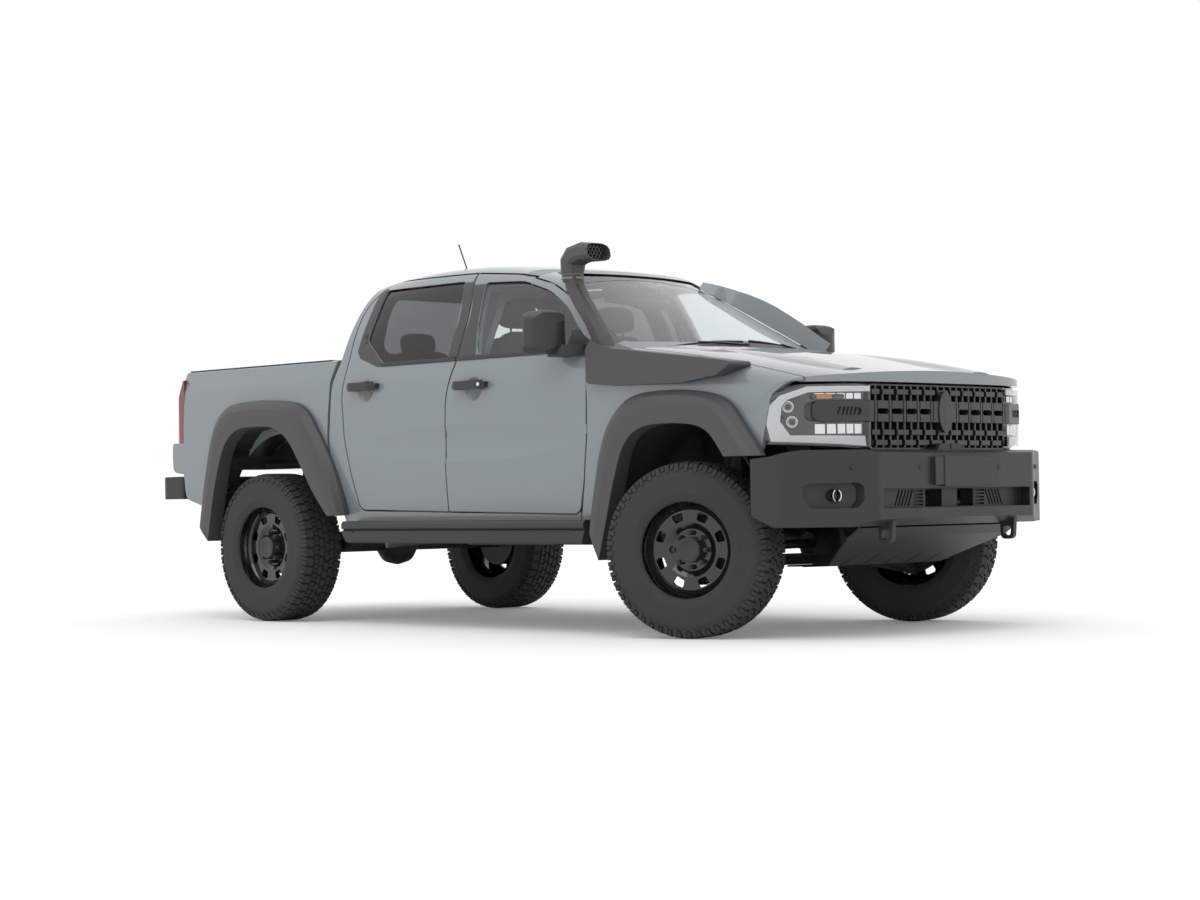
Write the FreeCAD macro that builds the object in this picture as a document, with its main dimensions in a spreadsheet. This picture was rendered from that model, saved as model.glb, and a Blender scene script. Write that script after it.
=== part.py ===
import FreeCAD, Part
import Sketcher
import math
import os
from FreeCAD import Vector as V

# Double-cab off-road pickup, millimetres. X forward, Y left, Z up.
# Origin: middle of the overall length and width, on the ground.

os.makedirs("parts", exist_ok=True)
doc = FreeCAD.newDocument("Pickup")

# Driving sizes, each written once
sheet = doc.addObject("Spreadsheet::Sheet", "Sizes")
SIZES = [
    ("overall_length", 5350),
    ("wheelbase", 3258),
    ("front_overhang", 971),
    ("track_half", 855),
    ("body_half", 932),
    ("flare_half", 1016),
    ("belt_height", 1410),
    ("roof_height", 1945),
    ("bed_height", 1452),
    ("bed_floor", 905),
    ("tyre_radius", 418),
    ("tyre_width", 275),
    ("rim_radius", 246),
    ("steer_angle", 20.4),
    ("kingpin_offset", 75),
    ("panel_gap", 8),
    ("cab_wall", 42),
    ("door_depth", 100),
    ("frame_depth", 44),
    ("wing_wall", 26),
    ("bonnet_wall", 30),
    ("bed_wall", 120),
    ("glass_thickness", 5),
    ("seat_gap", 0.3),
]
for row, (word, value) in enumerate(SIZES, 1):
    sheet.set("A%d" % row, word)
    sheet.set("B%d" % row, str(value))
    sheet.setAlias("B%d" % row, word)
doc.recompute()


def size(word):
    return float(sheet.get(word))


FRONT = size("overall_length") / 2
AXLE_F = FRONT - size("front_overhang")
AXLE_R = AXLE_F - size("wheelbase")
HUB = size("tyre_radius")
BELT = size("belt_height")
ROOF = size("roof_height")
BODY = size("body_half")
GAP = size("panel_gap")
SEAT = size("seat_gap")
STEER = size("steer_angle")

AXES = {"xz": V(0, 1, 0), "yz": V(1, 0, 0), "xy": V(0, 0, 1)}
finished = []


# Outlines and prisms
def on_plane(plane, u, v, level):
    if plane == "xz":
        return V(u, level, v)
    if plane == "yz":
        return V(level, u, v)
    return V(u, v, level)


def outline(plane, corners, level=0.0):
    # closed wire through corners (u, v, radius), each corner rounded
    count = len(corners)
    turns = []
    for i, corner in enumerate(corners):
        here = on_plane(plane, corner[0], corner[1], level)
        radius = corner[2] if len(corner) > 2 else 0
        back = on_plane(plane, corners[i - 1][0], corners[i - 1][1], level) - here
        ahead_corner = corners[(i + 1) % count]
        ahead = on_plane(plane, ahead_corner[0], ahead_corner[1], level) - here
        reach = 0.46 * min(back.Length, ahead.Length)
        a = V(back).normalize()
        b = V(ahead).normalize()
        half = a.getAngle(b) / 2
        if radius <= 0 or half > 1.565:
            turns.append((here, None, here))
            continue
        cut = min(radius / math.tan(half), reach)
        radius = cut * math.tan(half)
        middle = (a + b).normalize()
        centre = here + middle * (radius / math.sin(half))
        turns.append((here + a * cut, centre - middle * radius, here + b * cut))
    edges = []
    for i in range(count):
        start, middle, end = turns[i]
        following = turns[(i + 1) % count][0]
        if middle is not None:
            edges.append(Part.Arc(start, middle, end).toShape())
        if (following - end).Length > 0.001:
            edges.append(Part.makeLine(end, following))
    return Part.Wire(edges)


def prism(plane, corners, low, high, grow=0.0):
    wire = outline(plane, corners, low)
    if grow:
        wire = wire.makeOffset2D(grow)
    return Part.Face(wire).extrude(AXES[plane] * (high - low))


def box(x0, x1, y0, y1, z0, z1):
    return Part.makeBox(x1 - x0, y1 - y0, z1 - z0, V(x0, y0, z0))


def rod(start, end, radius):
    along = end - start
    return Part.makeCylinder(radius, along.Length, start, along)


def mirrored(shape):
    return shape.mirror(V(0, 0, 0), V(0, 1, 0))


def shifted(corners, dx, dz=0.0):
    return [(c[0] + dx, c[1] + dz) + tuple(c[2:]) for c in corners]


def join(shapes):
    whole = shapes[0].fuse(list(shapes[1:])) if len(shapes) > 1 else shapes[0]
    return whole.removeSplitter()


def solids_of(shape):
    return [s for s in shape.Solids if s.Volume > 500]


def new_body(label):
    body = doc.addObject("PartDesign::Body", label)
    body.Label = label
    return body


def sketch(body, role, corners, offset=0.0):
    # closed outline on one of the body's planes, each corner dimensioned from the origin
    plane = [f for f in body.Origin.OriginFeatures if f.Role == role][0]
    drawing = body.newObject("Sketcher::SketchObject", body.Label + "_outline")
    drawing.AttachmentSupport = [(plane, "")]
    drawing.MapMode = "FlatFace"
    drawing.AttachmentOffset = FreeCAD.Placement(V(0, 0, -offset), FreeCAD.Rotation())
    points = [V(c[0], c[1], 0) for c in corners]
    for i, point in enumerate(points):
        drawing.addGeometry(Part.LineSegment(point, points[(i + 1) % len(points)]), False)
    for i, point in enumerate(points):
        drawing.addConstraint(Sketcher.Constraint("Coincident", i, 2, (i + 1) % len(points), 1))
    for i, corner in enumerate(corners):
        for kind, value in (("DistanceX", corner[0]), ("DistanceY", corner[1])):
            drawing.addConstraint(Sketcher.Constraint(kind, -1, 1, i, 1, value))
    return drawing


def pad(body, drawing, length, midplane=False):
    feature = body.newObject("PartDesign::Pad", body.Label + "_pad")
    feature.Profile = drawing
    feature.Length = length
    feature.Midplane = midplane
    drawing.Visibility = False
    doc.recompute()
    return feature


def pocket(body, drawing, length):
    feature = body.newObject("PartDesign::Pocket", body.Label + "_pocket")
    feature.Profile = drawing
    feature.Length = length
    feature.Midplane = True
    doc.recompute()
    return feature


def bind(feature, name, text):
    feature.setExpression(name, text)


def keep(label, shape, placement=None):
    solids = solids_of(shape)
    whole = solids[0] if len(solids) == 1 else Part.makeCompound(solids)
    item = doc.addObject("Part::Feature", label)
    item.Label = label
    item.Shape = whole
    item.Placement = placement if placement else FreeCAD.Placement()
    finished.append(item)
    return item


# Body envelope: cross-sections lofted along X
SIDE = [(560, 905), (760, 925), (980, 932), (1180, 929), (1310, 920), (1400, 894)]
GREEN = [(1500, 865), (1620, 822), (1730, 771), (1820, 722), (1878, 667), (1912, 580)]
CROWN = [(1930, 430), (1941, 220), (1945, 0)]
ROOF_FALL = [(-1010, 0.86), (-600, 0.975), (-200, 1.0), (100, 0.966), (450, 0.872), (900, 0.70),
             (1420, 0.47)]


def inset_skin(half, inset):
    # half: list of (y, z) from the sill to the centre line, moved inwards
    moved = []
    for i, (y, z) in enumerate(half):
        y0, z0 = half[max(i - 1, 0)]
        y1, z1 = half[min(i + 1, len(half) - 1)]
        run = V(y1 - y0, z1 - z0, 0)
        if i == len(half) - 1:
            run = V(-1, 0, 0)
        out = V(run.y, -run.x, 0).normalize()
        moved.append((max(y - out.x * inset, 0.0), z - out.y * inset))
    return moved


def across(x, half):
    right = [V(x, -y, z) for y, z in half]
    return right + [V(x, y, z) for y, z in reversed(half[:-1])]


def spacing(half):
    # spline parameters by chord length, shared by all sections of one loft
    points = across(0, half)
    run = [0.0]
    for a, b in zip(points[:-1], points[1:]):
        run.append(run[-1] + (b - a).Length)
    return [value / run[-1] for value in run]


def section_wire(x, half, parameters):
    points = across(x, half)
    curve = Part.BSplineCurve()
    curve.interpolate(Points=points, Parameters=parameters)
    return Part.Wire([curve.toShape(), Part.makeLine(points[-1], points[0])])


def cab_half(rise):
    wide = BODY / 932.0
    lift = (ROOF - BELT) / 535.0
    half = [(y * wide, z * BELT / 1410.0) for z, y in SIDE]
    for z, y in GREEN + CROWN:
        half.append((y * wide, BELT + (z - 1410) * lift * rise))
    return half


def cab_envelope(inset):
    wires = []
    parameters = spacing(cab_half(1.0))
    for x, rise in ROOF_FALL:
        wires.append(section_wire(x, inset_skin(cab_half(rise), inset), parameters))
    return Part.makeLoft(wires, True, False)


# Front body: shoulder and bonnet line fall towards the nose
NOSE = FRONT - 119
FALL = [(980, 1400, 1462, 1.0), (1300, 1372, 1436, 1.0), (1700, 1318, 1384, 1.0),
        (2050, 1258, 1324, 0.99), (2350, 1190, 1274, 0.975), (2640, 1128, 1236, 0.95)]


def front_half(shoulder, centre, wide):
    scale = BODY / 932.0 * wide
    top = centre - shoulder
    half = [(y * scale, z) for z, y in SIDE[:3]]
    half.append((930 * scale, 0.5 * (950 + shoulder - 60)))
    half.append((922 * scale, shoulder - 70))
    half.append((893 * scale, shoulder - 20))
    half.append((820 * scale, shoulder + 0.30 * top))
    half.append((640 * scale, shoulder + 0.72 * top))
    half.append((330 * scale, shoulder + 0.93 * top))
    half.append((0.0, centre))
    return half


def front_envelope(inset):
    wires = []
    parameters = spacing(front_half(*FALL[2][1:]))
    for x, shoulder, centre, wide in FALL:
        half = front_half(shoulder, centre, wide)
        wires.append(section_wire(x, inset_skin(half, inset), parameters))
    body = Part.makeLoft(wires, True, False)
    return body.common(nose_prism(inset))


def nose_prism(inset):
    scale = BODY / 932.0
    plan = [(0, NOSE), (530, NOSE - 24), (662, NOSE - 64), (778, NOSE - 156),
            (870, NOSE - 256), (925, NOSE - 360), (950, NOSE - 520)]
    right = [V(x - inset, -(y * scale - 0.6 * inset * y / 950.0), 300) for y, x in reversed(plan)]
    left = [V(p.x, -p.y, p.z) for p in reversed(right[:-1])]
    curve = Part.BSplineCurve()
    curve.interpolate(right + left)
    back = 900
    ends = [left[-1], V(back, left[-1].y, 300), V(back, right[0].y, 300), right[0]]
    edges = [curve.toShape()]
    for start, end in zip(ends[:-1], ends[1:]):
        edges.append(Part.makeLine(start, end))
    return Part.Face(Part.Wire(edges)).extrude(V(0, 0, 1500))


# Windscreen: part of a large cylinder whose straight lines follow the slope
SCREEN_TOP = V(452, 0, BELT + 470)
SCREEN_FOOT = V(1372, 0, BELT + 4)


def screen_block(inset, depth=1600):
    slope = (SCREEN_FOOT - SCREEN_TOP).normalize()
    normal = V(0, 1, 0).cross(slope) * -1
    if normal.z < 0:
        normal = normal * -1
    start = SCREEN_TOP - slope * 900 - normal * inset
    bulge = 92
    half = 1000
    left = start + V(0, half, 0) - normal * bulge * 2.1
    right = start - V(0, half, 0) - normal * bulge * 2.1
    arc = Part.Arc(left, start, right).toShape()
    far_left = left + normal * depth
    far_right = right + normal * depth
    edges = [arc, Part.makeLine(right, far_right), Part.makeLine(far_right, far_left),
             Part.makeLine(far_left, left)]
    return Part.Face(Part.Wire(edges)).extrude(slope * 2600)


RAIL = [(2420, 600), (2420, 700, 20), (2150, 720, 60), (1980, 790, 120), (1420, 790, 120), (1120, 640, 120),
        (-820, 640, 200), (-1180, 800, 200), (-1920, 800, 200), (-2140, 740, 200), (-2440, 740, 20),
        (-2440, 610, 20), (-2140, 620, 200), (-1920, 690, 200), (-1180, 690, 200), (-820, 510, 200),
        (1080, 510, 120), (1400, 670, 120), (1980, 680, 120), (2150, 600, 60)]
RAIL_IN = 372
RAIL_OUT = 446
SKID_HALF = 590.0
FLOOR_LOW = 658.0
BONNET_HALF = 800
FLOOR_TOP = 700.0
SCREEN_HOLE = [(-760, BELT + 36, 60), (760, BELT + 36, 60), (560, BELT + 442, 70), (-560, BELT + 442, 70)]
BACK_HOLE = [(-640, 1490, 60), (640, 1490, 60), (560, 1795, 70), (-560, 1795, 70)]
CAB_REAR = [(-876, 560), (-955, 800, 400), (-985, 1012, 400), (-962, 1342, 300),
            (-928, 1454, 200), (-905, 1700, 400), (-850, 1850, 60), (-820, 2000)]

OUTER = cab_envelope(0)
INNER = cab_envelope(size("cab_wall"))
AHEAD = screen_block(0)
AHEAD_IN = screen_block(size("cab_wall"))

FRONT_DOOR = [(0, 608, 8), (1000, 590, 55), (1046, 760, 300), (1073, 960, 300), (1073, 1320, 300),
              (1100, 1452, 20), (815, 1670, 260), (601, 1771, 300), (340, 1841, 600), (-8, 1871, 8),
              (78, 1638, 500), (67, 1417, 300), (4, 1190, 300), (0, 985, 400)]
REAR_DOOR = [(0, 608, 8), (0, 985, 400), (4, 1190, 300), (61, 1417, 300), (72, 1638, 500),
             (-14, 1871, 8), (-742, 1880, 110), (-868, 1720, 200), (-860, 1450, 300),
             (-872, 1230, 300), (-850, 1020, 300), (-800, 830, 400), (-735, 622, 60)]
FRONT_PANE = [(203, 1416, 12), (105, 1812, 14), (388, 1800, 300), (612, 1733, 300), (822, 1616, 200),
              (1034, 1440, 20), (1034, 1416, 8)]
REAR_PANE = [(-12, 1416, 12), (-2, 1640, 400), (-72, 1830, 12), (-740, 1830, 18), (-742, 1548, 40),
             (-560, 1416, 40)]
FRONT_PIN_X = 1073
REAR_PIN_X = 0


# Doors, right side; the left ones are mirrored
def door_inner():
    upper = cab_envelope(size("frame_depth"))
    lower = cab_envelope(size("door_depth"))
    above = box(-1200, 1500, -1100, 1100, BELT - 12, 2200)
    return lower.fuse(upper.common(above))


DOOR_INNER = door_inner()
LIP_INNER = cab_envelope(20)


def hinge_pin(x, z0, z1, y):
    # pin in the panel gap, with a leaf back into the door edge
    radius = GAP / 2 - SEAT
    pin = Part.makeCylinder(radius, z1 - z0, V(x, y, z0))
    leaf = box(x - GAP / 2 - 3, x, y - 1.5, y + 1.5, z0, z1)
    return pin.fuse(leaf)


def handle_cup(x, z):
    # round hollow behind the handle bar, shallow part of a ball
    wide = 60.0
    deep = 13.0
    ball = (wide * wide + deep * deep) / (2 * deep)
    return Part.makeSphere(ball, V(x, -side_y(z) + deep - ball, z))


def spindle(reach, spread, rise, end):
    # long swelling form turned about X: it rises by rise over half a length reach and half a width spread
    along = reach * reach / (2 * rise)
    waist = spread * spread / (2 * rise)
    low = waist - end * end / (2 * along)
    arc = Part.Arc(V(-end, 0, low), V(0, 0, waist), V(end, 0, low)).toShape()
    corners = [V(end, 0, low), V(end, 0, 0), V(-end, 0, 0), V(-end, 0, low)]
    edges = [arc] + [Part.makeLine(a, b) for a, b in zip(corners[:-1], corners[1:])]
    return Part.Face(Part.Wire(edges)).revolve(V(0, 0, 0), V(1, 0, 0), 360), waist


def scallop():
    # shallow crescent hollow along both doors, right side
    hollow, waist = spindle(860.0, 112.0, 10.0, 1000.0)
    middle = 0.66 * BELT + 32
    hollow.Placement = FreeCAD.Placement(V(150, -BODY - waist + 9, middle), FreeCAD.Rotation())
    return hollow


def door_shell(seam, pane, pin_x, pin_heights, cup):
    side = OUTER.common(box(-1100, 1250, -1100, -546, 500, 2050)).cut(AHEAD)
    skin = side.common(prism("xz", seam, -1100, -300, -GAP / 2)).cut(LIP_INNER)
    deep = side.common(prism("xz", seam, -1100, -300, -GAP / 2 - 11)).cut(DOOR_INNER)
    skin = skin.fuse(deep).cut(prism("xz", pane, -1100, -300)).cut([cup, scallop()])
    for z in pin_heights:
        skin = skin.fuse(hinge_pin(pin_x, z, z + 50, -BODY + 2))
    return skin.removeSplitter()


def door_pane(pane):
    depth = 10
    sheet_out = cab_envelope(depth)
    sheet_in = cab_envelope(depth + size("glass_thickness"))
    side = box(-1100, 1250, -1100, -300, 500, 2050)
    return sheet_out.common(side).cut(sheet_in).common(prism("xz", pane, -1100, -300, -0.2))


def side_y(z):
    # outer skin half width at a height of the lower body
    table = SIDE + GREEN
    for (z0, y0), (z1, y1) in zip(table[:-1], table[1:]):
        if z0 <= z <= z1:
            return (y0 + (y1 - y0) * (z - z0) / (z1 - z0)) * BODY / 932.0
    return BODY


def handle(x0, x1, z):
    # pull bar with rounded ends on two feet, bowed outwards in plan
    y = -side_y(z)
    face = prism("xz", [(x0, z - 22, 20), (x1, z - 24, 22), (x1, z + 24, 22), (x0, z + 22, 20)], y - 60, y - 10)
    plan = [(x0, y - 24, 10), (x0 + 30, y - 46, 60), (x1 - 60, y - 50, 60), (x1, y - 26, 10), (x1 - 70, y - 26, 30),
            (x0 + 40, y - 24, 30)]
    bar = face.common(prism("xy", plan, z - 40, z + 40))
    feet = [box(x0 + 8, x0 + 36, y - 34, y + 5, z - 14, z + 14),
            box(x1 - 44, x1 - 12, y - 34, y + 5, z - 14, z + 14)]
    return bar.fuse(feet)


def mirror_right():
    # rounded housing on an arm that leaves the door below the window corner
    plan = prism("xy", [(812, -948, 30), (790, -1040, 90), (806, -1118, 40), (930, -1122, 90), (975, -1040, 120),
                        (968, -946, 40)], 1340, 1640)
    side = prism("xz", [(770, 1392, 60), (975, 1384, 70), (990, 1520, 90), (925, 1602, 70), (778, 1600, 60)],
                 -1140, -900)
    end = prism("yz", [(-1126, 1420, 60), (-1060, 1384, 60), (-945, 1384, 40), (-945, 1602, 40), (-1070, 1602, 70),
                       (-1126, 1560, 70)], 700, 1100)
    head = plan.common(side).common(end)
    glass = prism("yz", [(-1106, 1432, 30), (-968, 1420, 30), (-962, 1578, 30), (-1100, 1568, 40)], 700, 806)
    head = head.cut(glass)
    arm = prism("xy", [(880, -1010, 8), (880, -905, 8), (900, -850, 8), (1040, -850, 8), (1035, -905, 12),
                       (965, -1010, 20)], 1372, 1428)
    sail = prism("xz", [(905, 1372, 14), (1062, 1372, 14), (1062, 1440, 14), (905, 1530, 20)],
                 -1000, -800)
    plate = cab_envelope(-8).common(sail).cut(OUTER)
    return head.fuse([arm.cut(OUTER), plate]).removeSplitter()


def doors():
    front = door_shell(FRONT_DOOR, FRONT_PANE, FRONT_PIN_X, (985, 1200), handle_cup(225, 1250))
    rear = door_shell(REAR_DOOR, REAR_PANE, REAR_PIN_X, (860, 1000), handle_cup(-665, 1280))
    front_glass = door_pane(FRONT_PANE)
    rear_glass = door_pane(REAR_PANE)
    front_fit = Part.makeCompound([handle(85, 353, 1262).cut(front), mirror_right().cut(front)])
    rear_fit = handle(-800, -540, 1292).cut(rear)
    for tail, turn in (("right", lambda s: s), ("left", mirrored)):
        keep("front_door_" + tail, turn(front))
        keep("rear_door_" + tail, turn(rear))
        keep("front_door_glass_" + tail, turn(front_glass))
        keep("rear_door_glass_" + tail, turn(rear_glass))
        keep("mirror_and_handle_" + tail, turn(front_fit))
        keep("rear_handle_" + tail, turn(rear_fit))


# Cab shell: roof, pillars, rear wall, floor, sills and scuttle in one welded shell
def pillar_b():
    # post inboard of both doors, tied to the sill and the roof rail
    band = prism("xz", [(-70, 590), (60, 590), (66, 1000, 300), (110, 1417, 300), (118, 1640, 300),
                        (60, 1900), (-90, 1900), (-20, 1640, 300), (-25, 1417, 300), (-70, 1000, 300)],
                 -1100, -300)
    outer = cab_envelope(size("door_depth") + 28)
    inner = cab_envelope(size("door_depth") + 70)
    post = outer.common(band).cut(inner).common(box(-200, 200, -1100, -300, 640, 1845))
    rail = cab_envelope(size("frame_depth") + GAP).cut(cab_envelope(size("door_depth") + 70))
    head = rail.common(band).common(box(-200, 200, -1100, -300, 1840, 1990))
    roof = cab_envelope(size("cab_wall") - 4).cut(cab_envelope(size("door_depth") + 70))
    tie = roof.common(band).common(box(-200, 200, -580, -300, 1700, 1990))
    return post.fuse([head, tie])


def tunnel():
    # hump of the floor over the gearbox, right half
    outer = prism("xz", [(700, FLOOR_LOW + 6), (1128, 836, 40), (1140, 836), (1140, 600), (700, 600)], -212, 10)
    return outer.cut(box(600, 1200, -1000, 1000, 500, FLOOR_LOW))


def gear_room():
    # space under the hump, right half
    return prism("xz", [(640, 600), (640, FLOOR_LOW), (720, FLOOR_LOW + 4), (1128, 816, 40), (1200, 816), (1200, 600)],
                 -192, 20)


def cab_shell():
    # right half first, then mirrored
    wall = size("cab_wall")
    whole = list(CAB_REAR) + [(1500, 2000), (1500, 1384), (1168, 1384, 20), (1020, 1384, 30), (1000, 640, 30),
                              (1000, 560)]
    body = OUTER.common(prism("xz", whole, -1100, 0)).cut(AHEAD)
    inset = size("wing_wall") + SEAT
    post = cab_envelope(inset).common(box(960, 1168, -1100, 0, FLOOR_LOW, 1400))
    ahead = box(990, 1200, -1100, 0, 500, 1500).cut(front_envelope(inset))
    body = body.fuse(post.cut(ahead))
    room = [(-880, FLOOR_TOP, 60), (-945, 1010, 300), (-925, 1340, 300), (-880, 1460, 200), (-860, 1700, 300),
            (-790, 1980), (1500, 1980), (1500, 1424), (1128, 1424, 20), (1128, FLOOR_TOP, 60)]
    hollow = INNER.common(prism("xz", room, -1100, 10)).cut(AHEAD_IN)
    body = body.cut(hollow)
    for seam in (FRONT_DOOR, REAR_DOOR):
        hole = prism("xz", seam, -1100, -540, GAP / 2)
        low = hole.common(box(-1100, 1300, -1100, -BODY + size("door_depth") + 50, 500, BELT))
        high = hole.common(box(-1100, 1300, -1100, -540, BELT - 1, 2000))
        body = body.cut(low.fuse(high))
    body = body.cut(box(-1100, 1300, -BODY + 192, 10, 300, FLOOR_LOW))
    body = body.cut(prism("xz", RAIL, -RAIL_OUT - GAP, -RAIL_IN + GAP, GAP))
    under_wing = prism("xz", [(1066, 1280), (1098, 1464), (1600, 1464), (1600, 1280)], -1100, -BONNET_HALF + GAP)
    body = body.cut(front_envelope(-SEAT).common(under_wing))
    body = body.fuse(tunnel()).cut(gear_room())
    body = body.cut(prism("yz", SCREEN_HOLE, 300, 1700))
    body = body.cut(prism("yz", BACK_HOLE, -1100, -700))
    body = body.fuse(pillar_b())
    whole_cab = body.fuse(mirrored(body))
    return max(whole_cab.Solids, key=lambda q: q.Volume)


def fixed_glass():
    outer = screen_block(8)
    inner = screen_block(8 + size("glass_thickness"))
    pane = inner.cut(outer).common(prism("yz", SCREEN_HOLE, 300, 1700, -SEAT))
    back = prism("xz", [(-905, 1400), (-910, 1400), (-875, 1850), (-870, 1850)], -800, 800)
    back = back.common(prism("yz", BACK_HOLE, -1100, -700, -SEAT))
    return Part.makeCompound([pane, back])


# Wings and bonnet
ARCH_F = [(1190, 300), (1222, 563, 60), (1290, 800, 200), (1395, 960, 120), (1500, 1030, 120),
          (1700, 1046, 500), (1900, 1030, 200), (2020, 960, 120), (2100, 820, 60), (2140, 300)]
LID_PIN = V(1346, 0, 1372)
LAMP_TOP = 1179.0
GRILLE_LOW = 872.0


def wing_right():
    shell = front_envelope(0).cut(front_envelope(size("wing_wall")))
    rear = FRONT_PIN_X + GAP / 2
    zone = [(rear - 73, 560), (rear - 27, 760, 300), (rear, 960, 300), (rear, 1320, 300), (rear + 27, 1460),
            (rear + 27, 1600), (2420, 1600), (2420, 1192, 20), (2330, 1192, 60), (2262, 1130, 60), (2215, 870, 40),
            (2040, 852), (2040, 560)]
    side = shell.common(prism("xz", zone, -1100, -BONNET_HALF, 0))
    return side.cut(prism("xz", ARCH_F, -1100, -700))


def front_wings():
    side = max(wing_right().Solids, key=lambda q: q.Volume)
    return Part.makeCompound([side, mirrored(side)])


def ridge(side):
    # spindle that swells out of the bonnet skin and runs out at both ends
    rise = 14.0
    form, waist = spindle(430.0, 100.0, rise, 500.0)
    fall = (FALL[1][2] - FALL[3][2]) / (FALL[3][0] - FALL[1][0])
    x = 0.5 * (FALL[1][0] + FALL[3][0]) + 190
    skin = FALL[1][1] + 0.84 * (FALL[1][2] - FALL[1][1]) - fall * (x - FALL[1][0])
    form.Placement = FreeCAD.Placement(V(x, side * 470, skin + rise - waist),
                                       FreeCAD.Rotation(V(0, 1, 0), math.degrees(math.atan(fall))))
    zone = box(1300, 2500, side * 470 - 160, side * 470 + 160, 1150, 1600)
    return form.common(zone).cut(front_envelope(size("bonnet_wall") - 10))


def bonnet():
    shell = front_envelope(0).cut(front_envelope(size("bonnet_wall")))
    half = BONNET_HALF - GAP
    plan = [(1330, -half, 30), (2700, -half), (2700, half), (1330, half, 30), (1425, 0, 900)]
    zone = prism("xy", plan, 1150, 1600)
    lid = shell.common(zone)
    lid = lid.cut(prism("xz", [(2100, 1100), (2100, 1180), (2340, LAMP_TOP + GAP), (2700, LAMP_TOP + GAP), (2700, 1100)],
                        -1100, 1100))
    lid = lid.fuse([ridge(-1), ridge(1)])
    pin = rod(V(LID_PIN.x, -half + 10, LID_PIN.z), V(LID_PIN.x, -BONNET_HALF + SEAT, LID_PIN.z), 6)
    return lid.fuse([pin, mirrored(pin)])


# Wheel-arch flares with their liners
FLARE_F_OUT = [(1132, 560), (1164, 757, 300), (1211, 951, 120), (1275, 1071, 80), (1400, 1160, 120),
               (1620, 1180, 500), (1880, 1166, 200), (2030, 1122, 80), (2140, 1000, 120), (2262, 840)]
FLARE_F_IN = [(1232, 368), (1290, 563, 300), (1343, 755, 300), (1408, 922, 90), (1500, 998, 90),
              (1650, 1020, 400), (1870, 1010, 200), (1970, 975, 60), (2045, 890, 120), (2085, 826)]
FLARE_R_OUT = [(-830, 597), (-914, 845, 300), (-1041, 1041, 160), (-1180, 1200, 90), (-1360, 1246, 200),
               (-1748, 1254, 300), (-1950, 1216, 80), (-2040, 1098, 160), (-2105, 867, 400), (-2165, 575)]
FLARE_R_IN = [(-906, 593), (-1044, 737, 300), (-1150, 890, 160), (-1257, 1025, 90), (-1380, 1094, 120),
              (-1604, 1106, 300), (-1765, 1086, 120), (-1870, 1000, 120), (-1960, 780, 400), (-2033, 454)]


def softened(corners):
    # each inner corner gives way to two points on its sides
    points = [(corners[0][0], corners[0][1])]
    for before, corner, after in zip(corners[:-2], corners[1:-1], corners[2:]):
        for other in (before, after):
            run = math.hypot(other[0] - corner[0], other[1] - corner[1])
            share = min(0.5 * corner[2] / run, 0.3)
            points.append((corner[0] + (other[0] - corner[0]) * share, corner[1] + (other[1] - corner[1]) * share))
    points.append((corners[-1][0], corners[-1][1]))
    return points


def chord_shares(points):
    run = [0.0]
    for a, b in zip(points[:-1], points[1:]):
        run.append(run[-1] + math.hypot(b[0] - a[0], b[1] - a[1]))
    return [value / run[-1] for value in run]


def flare(outer, inner):
    # horseshoe lofted outwards from the body to its lip, right side
    edge = size("flare_half")
    outside = softened(outer)
    inside = softened(inner)
    steps = ((-edge + 92, 0.0), (-edge + 64, 0.0), (-edge + 24, 0.16), (-edge + 5, 0.34), (-edge, 0.56))
    wires = []
    for level, part in steps:
        rim = [(o[0] + (i[0] - o[0]) * part, o[1] + (i[1] - o[1]) * part) for o, i in zip(outside, inside)]
        over = Part.BSplineCurve()
        over.interpolate(Points=[V(x, level, z) for x, z in rim], Parameters=chord_shares(outside))
        under = Part.BSplineCurve()
        under.interpolate(Points=[V(x, level, z) for x, z in reversed(inside)],
                          Parameters=chord_shares(list(reversed(inside))))
        ends = [V(rim[-1][0], level, rim[-1][1]), V(inside[-1][0], level, inside[-1][1])]
        starts = [V(inside[0][0], level, inside[0][1]), V(rim[0][0], level, rim[0][1])]
        wires.append(Part.Wire([over.toShape(), Part.makeLine(*ends), under.toShape(), Part.makeLine(*starts)]))
    return Part.makeLoft(wires, True, True)


def arch_flares():
    front = flare(FLARE_F_OUT, FLARE_F_IN).cut(front_envelope(0))
    front = front.cut(box(1900, 2400, -1100, -800, 0, 852)).cut(OUTER)
    rear = flare(FLARE_R_OUT, FLARE_R_IN).cut(OUTER).cut(bed_block())
    parts = [max(p.Solids, key=lambda q: q.Volume) for p in (front, rear)]
    return Part.makeCompound(parts + [mirrored(p) for p in parts])


def liner(x, radius, z_low_front, z_low_rear):
    # thin arch roof that closes the wheel house towards the engine bay
    along = V(0, 1, 0)
    ring = Part.makeCylinder(radius + 4, 380, V(x, -940, HUB + 120), along)
    ring = ring.cut(Part.makeCylinder(radius, 380, V(x, -940, HUB + 120), along))
    front = box(x, x + radius + 10, -941, -500, z_low_front, HUB + 900)
    rear = box(x - radius - 10, x, -941, -500, z_low_rear, HUB + 900)
    return ring.common(front.fuse(rear)).common(front_envelope(size("wing_wall") + SEAT))


def flap(x0, x1, y_out, y_in, z0, z1):
    return prism("yz", [(-y_out, z0, 20), (-y_in, z0, 20), (-y_in, z1, 5), (-y_out, z1, 5)], x0, x1)


def arch_liners():
    front = liner(AXLE_F - 20, 510, 660, 620)
    flap_r = flap(-2060, -2052, 922, 760, 456, 730).cut(load_bed())
    flap_r = max(flap_r.Solids, key=lambda q: q.Volume)
    parts = [front, flap_r]
    return Part.makeCompound(parts + [mirrored(p) for p in parts])


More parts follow.
